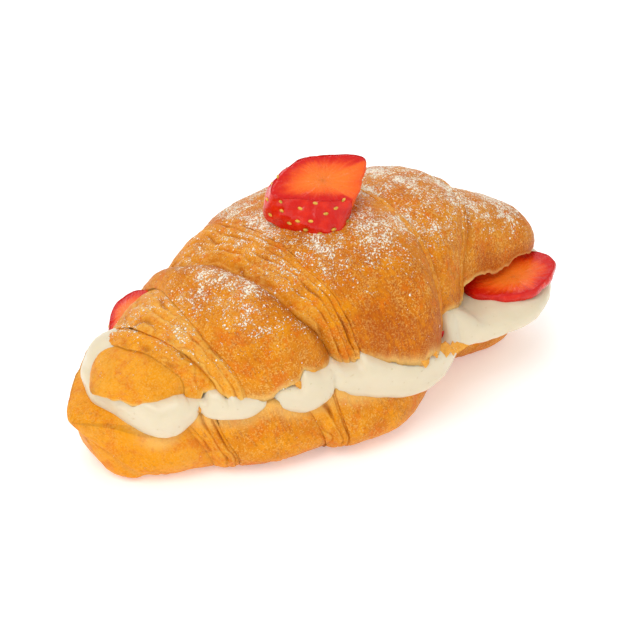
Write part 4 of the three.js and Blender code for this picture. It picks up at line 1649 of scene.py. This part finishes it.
def strawberry_slices(grain: Grain) -> tuple[StrawberrySlice, ...]:
    """Describe the five slices.

    Args:
        grain: The random field that roughens them.

    Returns:
        The slices.
    """
    half_round = Outline(((-180, 10.5), (-135, 11.5), (-90, 13.6), (-45, 11), (0, 10), (45, 11), (90, 13.2),
                          (135, 11.5), (180, 10.5)))
    top = StrawberrySlice(
        grain, "strawberry_slice_top", (-1.05, -4.34, 67.96), (27.5, 6.8, -18.9), 11.0,
        Outline(((-180, 14.4), (-167, 16.6), (-161, 16.4), (-153, 14.4), (-146, 11.6), (-135, 9.8),
                 (-117, 8.4), (-96, 7.6), (-73, 7.8), (-54, 9.2), (-41, 10.6), (-25, 11.1), (0, 12.2),
                 (15, 14.6), (25, 16.5), (31, 16.7), (38, 15.2), (45, 13.7), (58, 11.1), (74, 9.8),
                 (90, 9.3), (112, 9.4), (132, 9.8), (149, 10.6), (169, 12.7), (180, 14.4))),
        Outline(((-180, 0.6), (-167, 0), (-153, 1.2), (-146, 3.2), (-135, 4.2), (-117, 5.2), (-108, 6.4),
                 (-96, 6.8), (-77, 6.9), (-68, 5.8), (-56, 3), (-41, 0.6), (-25, 0), (26, -1), (60, -2),
                 (130, -2), (160, -0.6), (180, 0.6))),
        cuts=((-44, 26),),
    )
    right = StrawberrySlice(
        grain, "strawberry_slice_right", (60.0, -25.0, 28.7), (-3.0, -3.0, 91.0), 2.5,
        Outline(((-180, 9.2), (-149, 9.6), (-127, 11.3), (-107, 14.4), (-94, 17), (-82, 18.3), (-70, 18),
                 (-55, 16.5), (-20, 14.5), (30, 14.5), (60, 16), (76, 16.6), (88, 16.2), (98, 15),
                 (111, 12.8), (127, 11.3), (148, 9.8), (180, 9.2))),
        seeds=Ripeness.BARE,
    )
    left = StrawberrySlice(
        grain, "strawberry_slice_left", (-54.5, 15.5, 34.5), (10.1, -39.5, -33.6), 4.4,
        Outline(((-180, 6.5), (-165, 7), (-146, 7.6), (-127, 8), (-90, 8), (-45, 8), (0, 8), (25, 8.3),
                 (49, 8), (78, 7.8), (96, 7.8), (112, 8.3), (122, 8.2), (142, 7.4), (165, 6.5),
                 (180, 6.5))),
        Outline(((-180, 3.4), (-140, 2), (-90, 1.5), (0, 0.6), (90, 0.8), (140, 2.6), (165, 3.8),
                 (180, 3.4))),
    )
    front = StrawberrySlice(
        grain, "strawberry_slice_front", (18.6, -26.4, 29.0), (1.5, -2.4, 58.0), 2.4, half_round)
    middle = StrawberrySlice(
        grain, "strawberry_slice_middle", (-14.0, -16.0, 27.8), (2.7, 0.8, -16.7), 2.4, half_round,
        seeds=Ripeness.BARE)
    return top, right, left, front, middle


def main() -> None:
    """Build the croissant piece by piece."""
    logging.basicConfig(level=logging.INFO, format="%(name)s: %(message)s")
    crust = CrustTone("baked_crust").material()
    berry = BerryTone().material()
    seed = SeedTone().material()
    lid = UpperHalf(Grain(3))
    top = lid.build(crust)
    TornFlakes(Grain(19)).build(top[:, 0, :3], crust)
    LowerHalf(Grain(5)).build(crust)
    WhippedCream(Grain(7), lid).build(CreamTone().material())
    for slice_ in strawberry_slices(Grain(13)):
        slice_.build(berry, seed)
    PowderedSugar().build(top, SugarTone().material())
    Studio().build()


if __name__ == "__main__":
    main()
